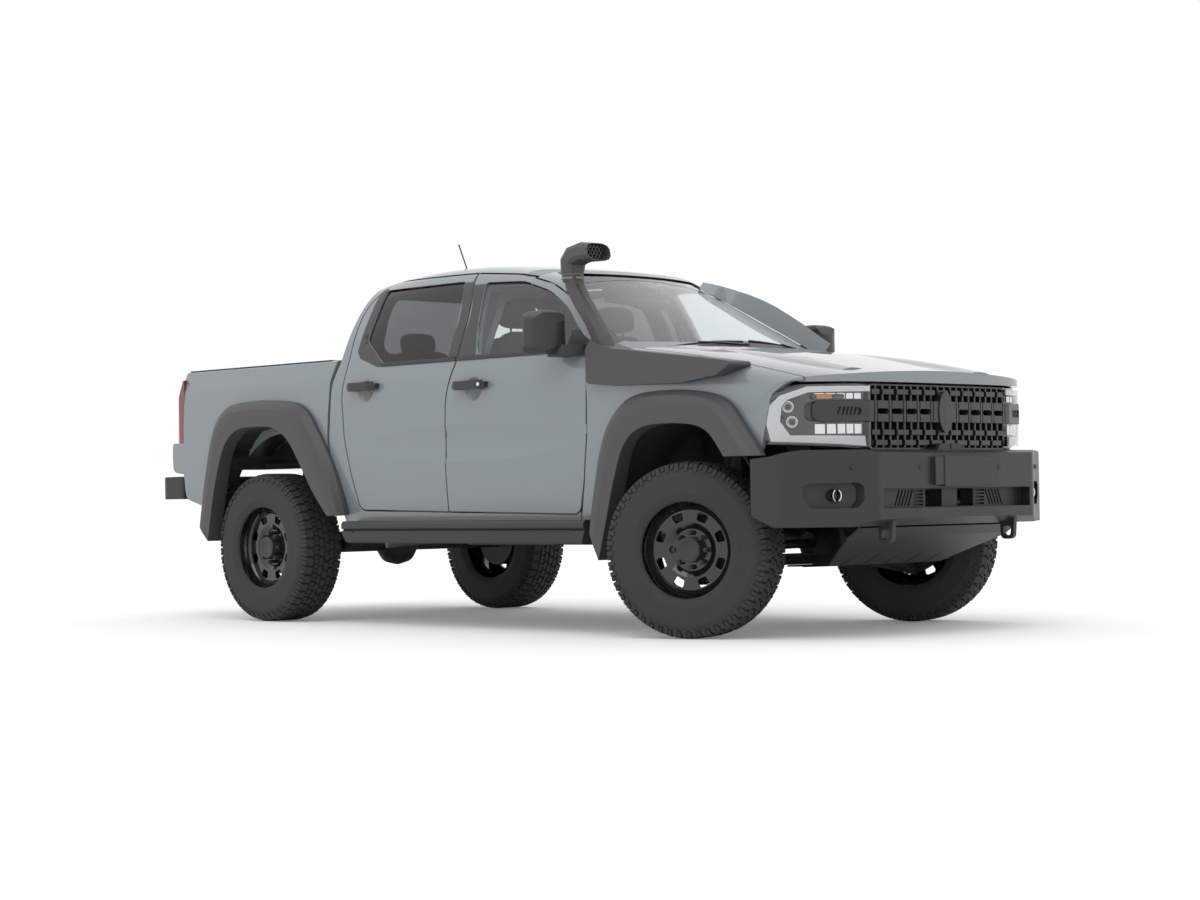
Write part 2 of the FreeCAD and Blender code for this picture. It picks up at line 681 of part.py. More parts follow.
# Load bed: floor, double side walls, front wall, wheel boxes
GATE_PIN = V(-2485, 0, size("bed_floor") + 12)
BED_TAIL = [(-2388, 1470), (-2440, 1290, 200), (-2500, 1000, 120), (-2500, 860, 40)]


def bed_block():
    # outer form of the load bed, closed
    top = size("bed_height")
    right = [(-BODY + 26, 640), (-BODY + 7, 750, 200), (-BODY, 950, 200), (-BODY + 2, 1150, 200),
             (-BODY + 12, 1330, 150), (-BODY + 44, top - 6, 12), (-BODY + 60, top, 8)]
    left = [(-c[0],) + tuple(c[1:]) for c in reversed(right)]
    body = Part.Face(outline("yz", right + left, -2560)).extrude(V(1800, 0, 0))
    shape = [(-896, 586), (-976, 800, 400), (-1005, 1012, 400), (-984, 1342, 300), (-950, 1470)]
    shape = shape + BED_TAIL + [(-2392, 846), (-2380, 700, 30), (-2170, 640), (-2170, 586)]
    return body.common(prism("xz", shape, -1100, 1100))


def wheel_box(inside):
    # half-round box over the rear wheel, open towards the wheel
    out = Part.makeCylinder(548, 180, V(AXLE_R, -inside - 5, HUB + 120), V(0, 1, 0))
    bore = Part.makeCylinder(526, 160, V(AXLE_R, -inside - 6, HUB + 120), V(0, 1, 0))
    return out.cut(bore).common(box(-2300, -900, -1100, -600, size("bed_floor") - 30, 1300))


def load_bed():
    floor = size("bed_floor")
    inside = BODY - size("bed_wall")
    body = bed_block()
    body = body.cut(box(-2386, -1052, -inside, inside, floor, 2000))
    body = body.cut(box(-3000, -500, -inside, inside, 300, floor - 40))
    cut = Part.makeCylinder(526, 400, V(AXLE_R, -inside - 250, HUB + 120), V(0, 1, 0))
    cut = cut.common(box(-2300, -900, -1100, -inside + 150, 100, 1300))
    arch = prism("xz", [(-880, 300)] + FLARE_R_IN + [(-2100, 300)], -1100, -inside - 1)
    body = body.cut([cut, mirrored(cut), arch, mirrored(arch)])
    boxed = wheel_box(inside)
    body = body.fuse([boxed, mirrored(boxed)])
    body = body.cut(box(-2700, -2380, -706, 706, floor - GAP, 1700))
    body = body.cut(box(-2700, -2462, -706, 706, 700, floor))
    lamp = box(-2700, -2386, -1000, -706, 1030, 1402)
    body = body.cut([lamp, mirrored(lamp)])
    return body.removeSplitter()


def tailgate():
    floor = size("bed_floor")
    top = size("bed_height")
    profile = [(-2396, top, 10), (-2440, 1290, 200), (-2510, 1000, 120), (-2510, floor, 6),
               (-2450, floor, 6), (-2440, 1000, 200), (-2386, 1250, 300), (-2344, top, 10)]
    leaf = prism("xz", profile, -700, 700)
    pressed = prism("xz", profile, -600, 600).cut(prism("xz", shifted(profile, 9), -610, 610))
    pressed = pressed.common(prism("yz", [(-590, floor + 60, 30), (590, floor + 60, 30), (590, top - 150, 30),
                                          (-590, top - 150, 30)], -2600, -2400))
    grip = prism("yz", [(-120, top - 118, 14), (120, top - 118, 14), (120, top - 50, 14), (-120, top - 50, 14)],
                 -2600, -2408)
    bar = prism("yz", [(-104, top - 76, 8), (104, top - 76, 8), (104, top - 50), (-104, top - 50)], -2424, -2400)
    leaf = leaf.cut([pressed, grip]).fuse(bar)
    pins = [rod(V(GATE_PIN.x, -706 + SEAT, GATE_PIN.z), V(GATE_PIN.x, -690, GATE_PIN.z), 5),
            rod(V(GATE_PIN.x, 690, GATE_PIN.z), V(GATE_PIN.x, 706 - SEAT, GATE_PIN.z), 5)]
    return leaf.fuse(pins).removeSplitter()


def tail_lamps():
    face = -2386 - SEAT
    shape = [(face, 1402 - SEAT), (-2396, 1402 - SEAT, 8), (-2450, 1290, 200), (-2515, 1060, 30),
             (-2515, 1030 + SEAT, 20), (face, 1030 + SEAT)]
    lamp = prism("xz", shape, -924, -706 - SEAT)
    plan = prism("xy", [(-2300, -700), (-2300, -926), (-2440, -926, 60), (-2560, -860), (-2560, -700)],
                 1000, 1450)
    lamp = lamp.common(plan)
    return Part.makeCompound([lamp, mirrored(lamp)])


# Front end
LAMP_ZONE = [(-538, 880, 20), (-905, 905, 40), (-960, 1000), (-960, 1130, 20), (-790, LAMP_TOP - 3, 40),
             (-520, LAMP_TOP, 20)]


def headlamps():
    # bowl with a C-shaped light guide round it, two projectors and a marker block
    bowl = nose_shell(30, 150, 860, 1200).common(prism("yz", LAMP_ZONE, 2100, 2700))
    guide_out = prism("yz", LAMP_ZONE, 2100, 2700, -10)
    guide_in = prism("yz", [(-400, 938), (-856, 944, 50), (-892, 1010, 60), (-892, 1110, 40), (-800, 1146, 40),
                            (-400, 1150)], 2100, 2700)
    guide = nose_shell(4, 40, 860, 1200).common(guide_out).cut(guide_in)
    lights = []
    for y, z, r in ((-848, 1074, 26), (-836, 1004, 26)):
        lights.append(rod(V(2200, y, z), V(2500, y, z), r).common(nose_shell(12, 40, 860, 1200)))
    marker = prism("yz", [(-760, 1106, 8), (-640, 1106, 8), (-640, 1130, 8), (-760, 1130, 8)], 2200, 2700)
    lights.append(marker.common(nose_shell(14, 40, 860, 1200)))
    lamp = bowl.fuse([guide] + lights).cut(box(2000, 2215, -1100, 0, 800, 1300))
    lamp = lamp.cut([wing_right(), grille_room()])
    lamp = max(lamp.Solids, key=lambda q: q.Volume)
    return Part.makeCompound([lamp, mirrored(lamp)])


def nose_shell(near, far, low, high):
    # upright wall that follows the nose in plan, between two depths behind it
    scale = BODY / 932.0
    plan = [(0, 0), (260, 6), (530, 24), (662, 64), (720, 106), (778, 156), (870, 256), (925, 360)]
    lines = []
    for depth in (near, far):
        line = []
        for i, (y, back) in enumerate(plan):
            y0, x0 = plan[max(i - 1, 0)]
            y1, x1 = plan[min(i + 1, len(plan) - 1)]
            out = V(y1 - y0, x1 - x0, 0).normalize()
            line.append((NOSE - back - depth * out.x, -(y * scale - depth * out.y)))
        lines.append([(c[0], -c[1]) for c in reversed(line[1:])] + line)
    return prism("xy", lines[0] + list(reversed(lines[1])), low, high)


# Grille: open lattice of short bars in front of upright links, with a two-rail bar across the middle
PITCH = 97.0
BAR_ROWS = [(1142, 24, 0.0), (954, 24, 0.0), (906, 24, 0.5)]
LINK_ROWS = [(1100, LAMP_TOP), (GRILLE_LOW, 1002)]
RAIL_LOW = 1002.0
RAIL_HIGH = 1100.0


def panel(y, z, wide, tall, radius=4.0):
    # rounded rectangle across the nose, right through in X
    return prism("yz", [(y - wide / 2, z - tall / 2, radius), (y + wide / 2, z - tall / 2, radius),
                        (y + wide / 2, z + tall / 2, radius), (y - wide / 2, z + tall / 2, radius)], 2200, 2700)


def grille_field():
    return prism("yz", [(-512, GRILLE_LOW, 20), (30, GRILLE_LOW), (30, LAMP_TOP - 1), (-512, LAMP_TOP - 1, 20)],
                 2200, 2700)


def grille_rail(grow=0.0):
    return prism("yz", [(-775, RAIL_LOW, 30), (30, RAIL_LOW), (30, RAIL_HIGH), (-775, RAIL_HIGH, 30)], 2200, 2700, grow)


def grille_room():
    # what the lamp leaves free for the grille
    body = nose_shell(-30, 76, 800, 1300)
    return body.common(grille_field().fuse(grille_rail(SEAT)))


def grille_half():
    field = grille_field()
    frame = nose_shell(12, 70, 860, 1200).common(field)
    inner = prism("yz", [(-498, GRILLE_LOW + 10, 12), (60, GRILLE_LOW + 10), (60, LAMP_TOP - 9), (-498, LAMP_TOP - 9, 12)],
                  2200, 2700)
    box_wall = frame.cut(inner)
    back = nose_shell(60, 70, 860, 1200).common(field)
    bars = []
    for z, tall, offset in BAR_ROWS:
        count = int(540 / PITCH)
        for i in range(count + 1):
            bars.append(panel(-(i + offset) * PITCH, z, PITCH - 22, tall, 0))
    bars = nose_shell(4, 26, 860, 1200).common(inner).common(Part.makeCompound(bars))
    links = []
    for low, high in LINK_ROWS:
        for i in range(11):
            links.append(panel(-(i + 0.5) * PITCH / 2, (low + high) / 2, 13, high - low + 4, 0))
    links = nose_shell(16, 62, 860, 1200).common(inner).common(Part.makeCompound(links))
    rail = nose_shell(-8, 62, 860, 1200).common(grille_rail())
    slots = [panel(-(i + 0.5) * PITCH, (RAIL_LOW + RAIL_HIGH) / 2, PITCH - 26, 26, 10) for i in range(1, 5)]
    grooves = []
    for i in range(1, 6):
        for edge in (-10, 10):
            grooves.append(panel(-i * PITCH + edge, (RAIL_LOW + RAIL_HIGH) / 2, 6, 120, 0))
    groove = Part.makeCompound(grooves).common(nose_shell(-20, 4, 860, 1200))
    capsule = panel(-632, (RAIL_LOW + RAIL_HIGH) / 2, 124, 36, 17).common(nose_shell(-20, 6, 860, 1200))
    ribs = []
    for i in range(5):
        y = -672 + 20 * i
        middle = (RAIL_LOW + RAIL_HIGH) / 2
        ribs.append(prism("yz", [(y - 8, middle - 18), (y - 2, middle - 18), (y + 10, middle + 18), (y + 4, middle + 18)],
                          2200, 2700))
    ribs = Part.makeCompound(ribs).common(nose_shell(-2, 10, 860, 1200))
    rail = rail.cut(slots).cut(groove).cut(capsule).fuse(ribs)
    return box_wall.fuse([back, bars, links, rail])


def grille():
    half = grille_half().cut(box(2000, 2700, 0, 100, 700, 1400))
    oval = Part.Ellipse(V(2200, 0, 0.5 * (RAIL_LOW + RAIL_HIGH)), 98, 50)
    oval.Axis = V(1, 0, 0)
    oval.AngleXU = 0
    boss = Part.Face(Part.Wire([oval.toShape()])).extrude(V(500, 0, 0))
    boss = boss.common(nose_shell(-14, 40, 860, 1200))
    return half.fuse([mirrored(half), boss])


def bumper_plan():
    right = [(FRONT - 25, -300, 300), (FRONT - 40, -588, 60), (FRONT - 180, -790, 80), (2395, -972, 60),
             (2215, -990, 20), (2190, -965), (2190, -900, 40), (2330, -860, 60), (2460, -700, 60),
             (2500, -560, 60)]
    return right + [(c[0], -c[1]) + tuple(c[2:]) for c in reversed(right)]


def bumper_cuts():
    # right half: vent ribs, open windows, fog pocket
    middle = FRONT - 96
    cuts = [box(middle, FRONT + 10, -556, 10, 602, 692)]
    cuts.append(prism("yz", [(-182, 606, 6), (-58, 606, 6), (-58, 688, 6), (-182, 688, 6)], 2380, 2700))
    for i in range(5):
        y = -410 + 24 * i
        cuts.append(prism("yz", [(y, 612), (y + 10, 612), (y + 42, 684), (y + 32, 684)], middle - 14, middle + 5))
    for i in range(5):
        cuts.append(box(middle - 14, middle + 5, -268, -198, 612 + 16 * i, 619 + 16 * i))
    face = [(FRONT - 76, -563), (FRONT - 217, -767), (FRONT - 318, -951), (FRONT - 190, -1100), (FRONT + 60, -700),
            (FRONT + 40, -520)]
    skin = prism("xy", face, 510, 880)
    pocket = prism("yz", [(-888, 650, 26), (-850, 606, 26), (-668, 606, 26), (-642, 640, 26), (-642, 700, 20),
                          (-662, 722, 20), (-868, 718, 20), (-888, 700, 20)], 2380, 2700)
    cuts.append(pocket.common(skin))
    return cuts


def front_bumper():
    beam = prism("xy", bumper_plan(), 520, 872)
    side = prism("xz", [(2040, 850), (2100, 826, 20), (2330, 846, 40), (2440, 872, 20), (2592, 872, 16),
                        (FRONT + 4, 848, 16), (FRONT + 4, 700), (FRONT - 20, 600), (FRONT - 16, 560, 12),
                        (2560, 520, 30), (2340, 522, 30), (2222, 572, 20), (2120, 760, 60)],
                 -1100, 1100)
    beam = beam.common(side)
    cuts = bumper_cuts()
    beam = beam.cut(cuts).cut([mirrored(c) for c in cuts])
    tab = prism("yz", [(-104, 860), (-74, 902, 14), (74, 902, 14), (104, 860)], NOSE + 10, NOSE + 36)
    keyhole = prism("yz", [(-5, 876, 2), (5, 876, 2), (5, 910), (-5, 910)], 2460, 2600)
    beam = beam.fuse(tab.cut(keyhole))
    plate = box(FRONT - 50, FRONT - 4, -215, 215, 706, 838).fuse(box(FRONT - 50, FRONT, -150, 150, 700, 842))
    extra = [plate, box(2420 + SEAT, 2516, -446, -372, 610, 690)]
    extra.append(mirrored(extra[1]))
    for side_sign in (-1, 1):
        lamp = rod(V(2440, side_sign * 735, 664), V(2506, side_sign * 735, 664), 26)
        eye = prism("xz", [(2537, 440, 26), (2612, 440, 26), (2620, 545), (2537, 530)], -472, -448)
        eye = eye.cut(prism("xz", [(2554, 458, 12), (2596, 458, 12), (2600, 502, 12), (2554, 502, 12)], -480, -440))
        extra += [lamp, eye if side_sign < 0 else mirrored(eye)]
        for y, x in ((300, FRONT - 36), (690, 2540)):
            extra.append(rod(V(x - 30, side_sign * y, 790), V(x + (14 if y < 400 else 34), side_sign * y, 790), 11))
    return beam.fuse(extra).removeSplitter()


def skid_plate():
    # pressed plate with ribs, widest behind the bumper
    body = new_body("skid_plate")
    line = [(2530, 512), (2470, 470), (2180, 330), (1930, 325), (1930, 333), (2178, 338), (2462, 478), (2522, 520)]
    pad(body, sketch(body, "XZ_Plane", line), 2 * SKID_HALF, midplane=True)
    side = [(1900, SKID_HALF - 160), (2190, SKID_HALF - 160), (2440, SKID_HALF - 4), (2440, SKID_HALF + 10),
            (1900, SKID_HALF + 10)]
    for sign in (-1, 1):
        pocket(body, sketch(body, "XY_Plane", [(x, sign * y) for x, y in side]), 1200)
    rib = [(2455, 464), (2180, 328), (1940, 320), (1940, 327), (2180, 332), (2455, 472)]
    for y in (-320, -160, 0, 160, 320):
        pad(body, sketch(body, "XZ_Plane", rib, y), 24, midplane=True)
    finished.append(body)


def rear_bumper():
    beam = prism("xy", [(-2400, -930, 20), (-2400, -700), (-2440, -560), (-2440, 560), (-2400, 700),
                        (-2400, 930, 20), (-2590, 945, 60), (-2660, 800, 80), (-2675, 500), (-2675, -500),
                        (-2660, -800, 80), (-2590, -945, 60)], 700, 832)
    receiver = box(-2660, -2350, -38, 38, 560, 636).cut(box(-2670, -2400, -25.5, 25.5, 572.5, 623.5))
    hanger = box(-2480, -2440, -30, 30, 630, 705)
    pads = []
    for low, high in ((-880, -520), (-400, 400), (520, 880)):
        pads.append(box(-2640, -2470, low, high, 822, 850))
        for i in range(4):
            pads.append(box(-2620 + 36 * i, -2606 + 36 * i, low + 16, high - 16, 815, 850))
    beam = beam.cut(pads)
    tube = box(-2500, -2440 - SEAT, -470, 470, 600, 660).cut(box(-2510, -2400, -25.5, 25.5, 572, 624))
    return beam.fuse([receiver, hanger, tube]).removeSplitter()


# Frame, drive line, axles
def ladder_frame():
    rail = prism("xz", RAIL, -RAIL_OUT, -RAIL_IN)
    pieces = [rail, mirrored(rail)]
    for x, z, r in ((2380, 650, 34), (-420, 606, 28), (-1060, 690, 34), (-2030, 720, 34), (-2410, 680, 26)):
        pieces.append(rod(V(x, -RAIL_IN - 4, z), V(x, RAIL_IN + 4, z), r))
    sling = [(-440, 520, 10), (-360, 520, 20), (-290, 462, 40), (290, 462, 40), (360, 520, 20), (440, 520, 10),
             (440, 500, 10), (310, 436, 40), (-310, 436, 40), (-440, 500, 10)]
    pieces.append(prism("yz", sling, 760, 820))
    return join(pieces)


def body_mounts():
    mounts = []
    for x, z0, z1 in ((880, 640, FLOOR_LOW - SEAT), (-560, 640, FLOOR_LOW - SEAT)):
        mount = Part.makeCylinder(40, z1 - z0, V(x, -409, z0))
        mounts += [mount, mirrored(mount)]
    for x, z0, z1 in ((-1300, 800, size("bed_floor") - 40 - SEAT), (-1840, 800, size("bed_floor") - 40 - SEAT)):
        mount = box(x - 40, x + 40, -440, -378, z0, z1)
        mounts += [mount, mirrored(mount)]
    return mounts


def powertrain():
    engine = prism("xz", [(1240, 570, 30), (1240, 1080, 40), (1960, 1050, 60), (1960, 600, 40),
                          (1700, 556, 40)], -290, 290)
    gearbox = prism("xz", [(1250, 480), (1250, 800), (700, 652), (700, 468 + SEAT), (900, 464)], -150, 150)
    bell = prism("yz", [(-172, 500), (-172, 760), (-90, 808), (90, 808), (172, 760), (172, 500)], 1140, 1250)
    transfer = prism("yz", [(-120, 470, 30), (270, 450, 40), (270, 570, 40), (-120, 644, 30)], 430, 710)
    shaft = rod(V(435, 0, 556), V(AXLE_R + 130 + SEAT, 0, HUB + 20), 34)
    feet = box(1480, 1560, -RAIL_IN + SEAT, RAIL_IN - SEAT, 690, 740)
    return join([engine, gearbox, bell, transfer, shaft, feet])


def wheel_centre(side):
    # side -1 right, +1 left; front wheels stand steered to the left
    turn = math.radians(STEER)
    k = size("kingpin_offset")
    pin = V(AXLE_F, side * kingpin_y(), HUB)
    return pin + V(-side * math.sin(turn), side * math.cos(turn), 0) * k


def kingpin_y():
    return size("track_half") - size("kingpin_offset") * math.cos(math.radians(STEER))


def arm(start, end, width, height):
    # straight forged arm of rectangular section between two points
    along = end - start
    base = Part.makePolygon([V(0, -width / 2, -height / 2), V(0, width / 2, -height / 2), V(0, width / 2, height / 2),
                             V(0, -width / 2, height / 2), V(0, -width / 2, -height / 2)])
    bar = Part.Face(base).extrude(V(along.Length, 0, 0))
    flat = math.degrees(math.atan2(along.y, along.x))
    rise = -math.degrees(math.asin(along.z / along.Length))
    turn = FreeCAD.Rotation(V(0, 0, 1), flat).multiply(FreeCAD.Rotation(V(0, 1, 0), rise))
    bar.Placement = FreeCAD.Placement(start, turn)
    return bar


def differential(x, y, z, radius, half):
    # ring-gear case, turned about the axle line
    wire = Part.makePolygon([V(0, -half, 0), V(0.45 * radius, -half, 0), V(0.9 * radius, -0.5 * half, 0),
                             V(radius, 0, 0), V(0.9 * radius, 0.5 * half, 0), V(0.45 * radius, half, 0),
                             V(0, half, 0), V(0, -half, 0)])
    case = Part.Face(wire).revolve(V(0, 0, 0), V(0, 1, 0), 360)
    case.translate(V(x, y, z))
    return case


def front_axle():
    pieces = [differential(AXLE_F, 90, HUB + 10, 120, 110)]
    pieces.append(rod(V(AXLE_F - 90, 90, HUB + 24), V(AXLE_F - 260, 90, HUB + 40), 50))
    pin_y = kingpin_y()
    ball_top = HUB - 125
    for side in (-1, 1):
        tip = V(AXLE_F, side * (pin_y - 62), HUB)
        pieces.append(rod(V(AXLE_F, 90 + side * 90, HUB + 10), tip, 22))
        for dx in (-190, 190):
            eye = V(AXLE_F + dx, side * 360, HUB - 60)
            ball = V(AXLE_F, side * (pin_y - 8), ball_top - 22)
            pieces.append(arm(eye, ball, 44, 36))
        pieces.append(Part.makeCylinder(28, 44, V(AXLE_F, side * pin_y, ball_top - 44)))
        strut_top = V(AXLE_F - 40, side * 486, 862)
        strut_low = V(AXLE_F - 72, side * 640, HUB - 112)
        pieces.append(rod(strut_low, strut_top, 36))
        low, high = sorted((side * (RAIL_OUT + SEAT), side * 520))
        pieces.append(box(AXLE_F - 90, AXLE_F + 20, low, high, 730, 862))
    beam = box(AXLE_F - 210, AXLE_F + 210, -400, 400, HUB - 85, HUB - 45)
    beam = beam.cut(box(AXLE_F - 150, AXLE_F + 150, -300, 300, 0, 1000))
    pieces.append(beam)
    saddle = box(AXLE_F - 30, AXLE_F + 30, -360, 360, HUB - 60, HUB - 40)
    pieces.append(saddle)
    return join(pieces)


def knuckle(side):
    # local frame: origin at the wheel centre, +Y outwards, unsteered
    k = size("kingpin_offset")
    face = RIM_FACE - SEAT
    disc = Part.makeCylinder(160, 26, V(0, face - 64, 0), V(0, 1, 0))
    hat = Part.makeCylinder(88, 40, V(0, face - 40, 0), V(0, 1, 0))
    upright = prism("yz", [(-k - 26, -86, 14), (-k + 22, -110, 14), (face - 66, -60, 10), (face - 66, 80, 10),
                           (-k + 22, 150, 20), (-k - 30, 150, 20)], -42, 42)
    pad = prism("xz", [(-168, 70, 20), (-60, 176, 30), (-96, 60, 20), (-120, -40, 20), (-178, -30, 20)],
                face - 84, face - 18)
    caliper = pad.cut(Part.makeCylinder(163, 40, V(0, face - 70, 0), V(0, 1, 0)))
    bridge = box(-110, -30, face - 76, face - 66, 20, 90)
    whole = join([disc, hat, upright])
    whole = whole.cut(rod(V(0, -400, 0), V(0, -k + 32, 0), 60))
    whole = whole.fuse(Part.makeCylinder(18, 50, V(0, -k, -125 + SEAT)))
    pieces = whole.fuse([pad.common(box(-400, -100, -300, 300, -300, 300)), bridge])
    shape = pieces.removeSplitter()
    if side < 0:
        shape = mirrored(shape)
    return shape


# Wheels
RIM_FACE = 30.0


def half_profile(points):
    wire = Part.makePolygon([V(r, y, 0) for r, y in points] + [V(points[0][0], points[0][1], 0)])
    return Part.Face(wire).revolve(V(0, 0, 0), V(0, 1, 0), 360)


def tyre_body(label, place):
    # carcass out to the lug tips; the tread pattern is left plain
    body = new_body(label)
    r = "Sizes.tyre_radius"
    w = "Sizes.tyre_width"
    bead = "Sizes.rim_radius - 17"
    half = [(bead, "0.415 * " + w), ("0.75 * " + r, "0.5 * " + w), (r + " - 20", "0.45 * " + w), (r, "0.32 * " + w)]
    texts = half + [(a, "-" + b) for a, b in reversed(half)]
    corners = [(sheet.evalExpression(a), sheet.evalExpression(b)) for a, b in texts]
    drawing = sketch(body, "XY_Plane", corners)
    count = len(corners)
    for i, pair in enumerate(texts):
        drawing.setExpression("Constraints[%d]" % (count + 2 * i), pair[0])
        drawing.setExpression("Constraints[%d]" % (count + 2 * i + 1), pair[1])
    turned = body.newObject("PartDesign::Revolution", label + "_turned")
    turned.Profile = drawing
    turned.ReferenceAxis = (drawing, ["V_Axis"])
    turned.Angle = 360
    body.Placement = place
    finished.append(body)


def rim_shape():
    # steel wheel: barrel, dished centre with eight windows, eight nuts round the hub cover
    lip = size("rim_radius")
    w = size("tyre_width") / 2
    seat_r = lip - 17 - SEAT
    rise = 0.17 * w * (lip - seat_r) / (0.75 * size("tyre_radius") - seat_r)
    edge = 0.83 * w + SEAT
    barrel = [(lip, edge + rise + 7), (lip, edge + rise), (seat_r, edge), (seat_r, 0.4 * w), (seat_r - 13, 0.3 * w),
              (seat_r - 13, -0.3 * w), (seat_r, -0.4 * w), (seat_r, -edge), (lip, -edge - rise),
              (lip, -edge - rise - 7), (seat_r - 9, -0.4 * w), (seat_r - 22, -0.3 * w), (seat_r - 22, 0.3 * w),
              (seat_r - 9, 0.44 * w)]
    disc = [(0, RIM_FACE), (104, RIM_FACE), (134, 46), (186, 46), (seat_r - 18, 22), (seat_r - 14, 34),
            (190, 60), (130, 60), (100, RIM_FACE + 12), (0, RIM_FACE + 12)]
    wheel = join([half_profile(barrel), half_profile(disc)])
    window = prism("xz", [(-22, 142, 8), (22, 142, 8), (31, 184, 12), (-31, 184, 12)], 0, 120)
    windows = []
    nuts = [Part.makeCylinder(60, 56, V(0, RIM_FACE + 6, 0), V(0, 1, 0))]
    nut = prism("xz", [(-12, 81), (-6, 92), (6, 92), (12, 81), (6, 70), (-6, 70)], RIM_FACE + 6, RIM_FACE + 44)
    for i in range(8):
        windows.append(window.rotated(V(0, 0, 0), V(0, 1, 0), 45 * i + 22.5))
        nuts.append(nut.rotated(V(0, 0, 0), V(0, 1, 0), 45 * i))
    return wheel.cut(windows).fuse(nuts).removeSplitter()


def wheel_places():
    track = size("track_half")
    turn = FreeCAD.Rotation(V(0, 0, 1), STEER)
    half = FreeCAD.Rotation(V(0, 0, 1), 180)
    return {
        "front_right": FreeCAD.Placement(wheel_centre(-1), turn.multiply(half)),
        "front_left": FreeCAD.Placement(wheel_centre(1), turn),
        "rear_right": FreeCAD.Placement(V(AXLE_R, -track, HUB), half),
        "rear_left": FreeCAD.Placement(V(AXLE_R, track, HUB), FreeCAD.Rotation()),
    }


def wheels():
    rim = rim_shape()
    for corner, place in wheel_places().items():
        tyre_body("tyre_" + corner, place)
        keep("rim_" + corner, rim.copy(), place)
    turn = FreeCAD.Rotation(V(0, 0, 1), STEER)
    keep("knuckle_right", knuckle(-1), FreeCAD.Placement(wheel_centre(-1), turn))
    keep("knuckle_left", knuckle(1), FreeCAD.Placement(wheel_centre(1), turn))


def rear_axle():
    track = size("track_half")
    face = track + RIM_FACE - SEAT
    pieces = [rod(V(AXLE_R, -face + 60, HUB), V(AXLE_R, face - 60, HUB), 42)]
    pieces.append(differential(AXLE_R, 0, HUB + 5, 130, 120))
    for side in (-1, 1):
        out = V(0, side, 0)
        pieces.append(Part.makeCylinder(150, 60, V(AXLE_R, side * (face - 98), HUB), out))
        pieces.append(Part.makeCylinder(86, 40, V(AXLE_R, side * (face - 40), HUB), out))
        y0 = min(side * 500, side * 565)
        low, high = sorted((side * (RAIL_OUT + SEAT), side * 566))
        leaf = prism("xz", [(-930, 600, 10), (-960, 560, 60), (-1350, 462, 300), (AXLE_R, 452, 200),
                            (-1800, 480, 300), (-2190, 600, 30), (-2190, 620, 8), (-1800, 500, 300),
                            (AXLE_R, 484, 200), (-1350, 500, 300), (-960, 620, 10)], y0, y0 + 65)
        pieces.append(leaf)
        pieces.append(box(AXLE_R - 60, AXLE_R + 60, y0 - 8, y0 + 73, HUB + 30, HUB + 90))
        bracket = box(-990, -930, low, high, 596, 700)
        shackle = box(-2200, -2150, low, high, 598, 700)
        pieces += [bracket, shackle]
        damper = rod(V(AXLE_R + 60, side * 430, HUB - 20), V(AXLE_R + 300, side * 328, 720), 26)
        pieces.append(damper)
    whole = join(pieces)
    return whole


# Other underbody pieces
def fuel_tank():
    # moulded tank along the left frame rail
    body = new_body("fuel_tank")
    face = RAIL_OUT + SEAT
    line = [(face, 412), (face + 30, 400), (690, 424), (730, 460), (730, 570), (700, 600), (face, 600)]
    pad(body, sketch(body, "YZ_Plane", line), 900)
    body.Placement = FreeCAD.Placement(V(-700, 0, 0), FreeCAD.Rotation())
    finished.append(body)


def exhaust():
    points = [V(1240 - SEAT, -230, 606), V(1120, -230, 606), V(660, -290, 500), V(-700, -275, 478),
              V(-860, -640, 440)]
    pieces = []
    for start, end in zip(points[:-1], points[1:]):
        pieces.append(rod(start, end, 30))
        if end != points[-1]:
            pieces.append(Part.makeSphere(30, end))
    pieces.append(prism("yz", [(-355, 420, 40), (-195, 420, 40), (-195, 530, 40), (-355, 530, 40)], -520, 60))
    return join(pieces)


def side_steps():
    # two-tier board: tread above, rail below, ends cut back
    sill = SIDE[0][0] - SEAT
    tread = prism("yz", [(-1008, 520, 12), (-1008, 548, 10), (-996, 564, 10), (-935, 564), (-925, sill), (-868, sill),
                         (-860, 520, 12)], -800, 1130)
    rail = prism("yz", [(-996, 446, 14), (-1004, 506, 12), (-990, 521), (-890, 521), (-884, 470, 20), (-920, 446, 14)],
                 -800, 1130)
    side = prism("xz", [(-790, 566), (-790, 500, 20), (-760, 440, 20), (1090, 440, 20), (1120, 500, 20), (1120, 566)],
                 -1100, -800)
    groove = box(-700, 1040, -1012, -998, 500, 512)
    pieces = [tread.fuse(rail).common(side).cut(groove)]
    for i in range(6):
        pieces[0] = pieces[0].cut(box(-700, 1040, -992 + 9 * i, -988 + 9 * i, 560, 570))
    for x in (-750, 290, 960):
        pieces.append(box(x - 30, x + 30, -900, -RAIL_OUT - SEAT, 515, 545))
    whole = join(pieces)
    return Part.makeCompound([whole, mirrored(whole)])


def ring_wire(centre, along, wide, tall):
    # twelve-sided moulded section, wide along Y
    across_y = V(0, 1, 0)
    up = V(along).normalize().cross(across_y).normalize()
    corners = []
    for k in range(12):
        turn = math.radians(30 * k + 15)
        u = wide * math.copysign(abs(math.cos(turn)) ** 0.7, math.cos(turn))
        v = tall * math.copysign(abs(math.sin(turn)) ** 0.7, math.sin(turn))
        corners.append(centre + across_y * u + up * v)
    return Part.makePolygon(corners + [corners[0]])


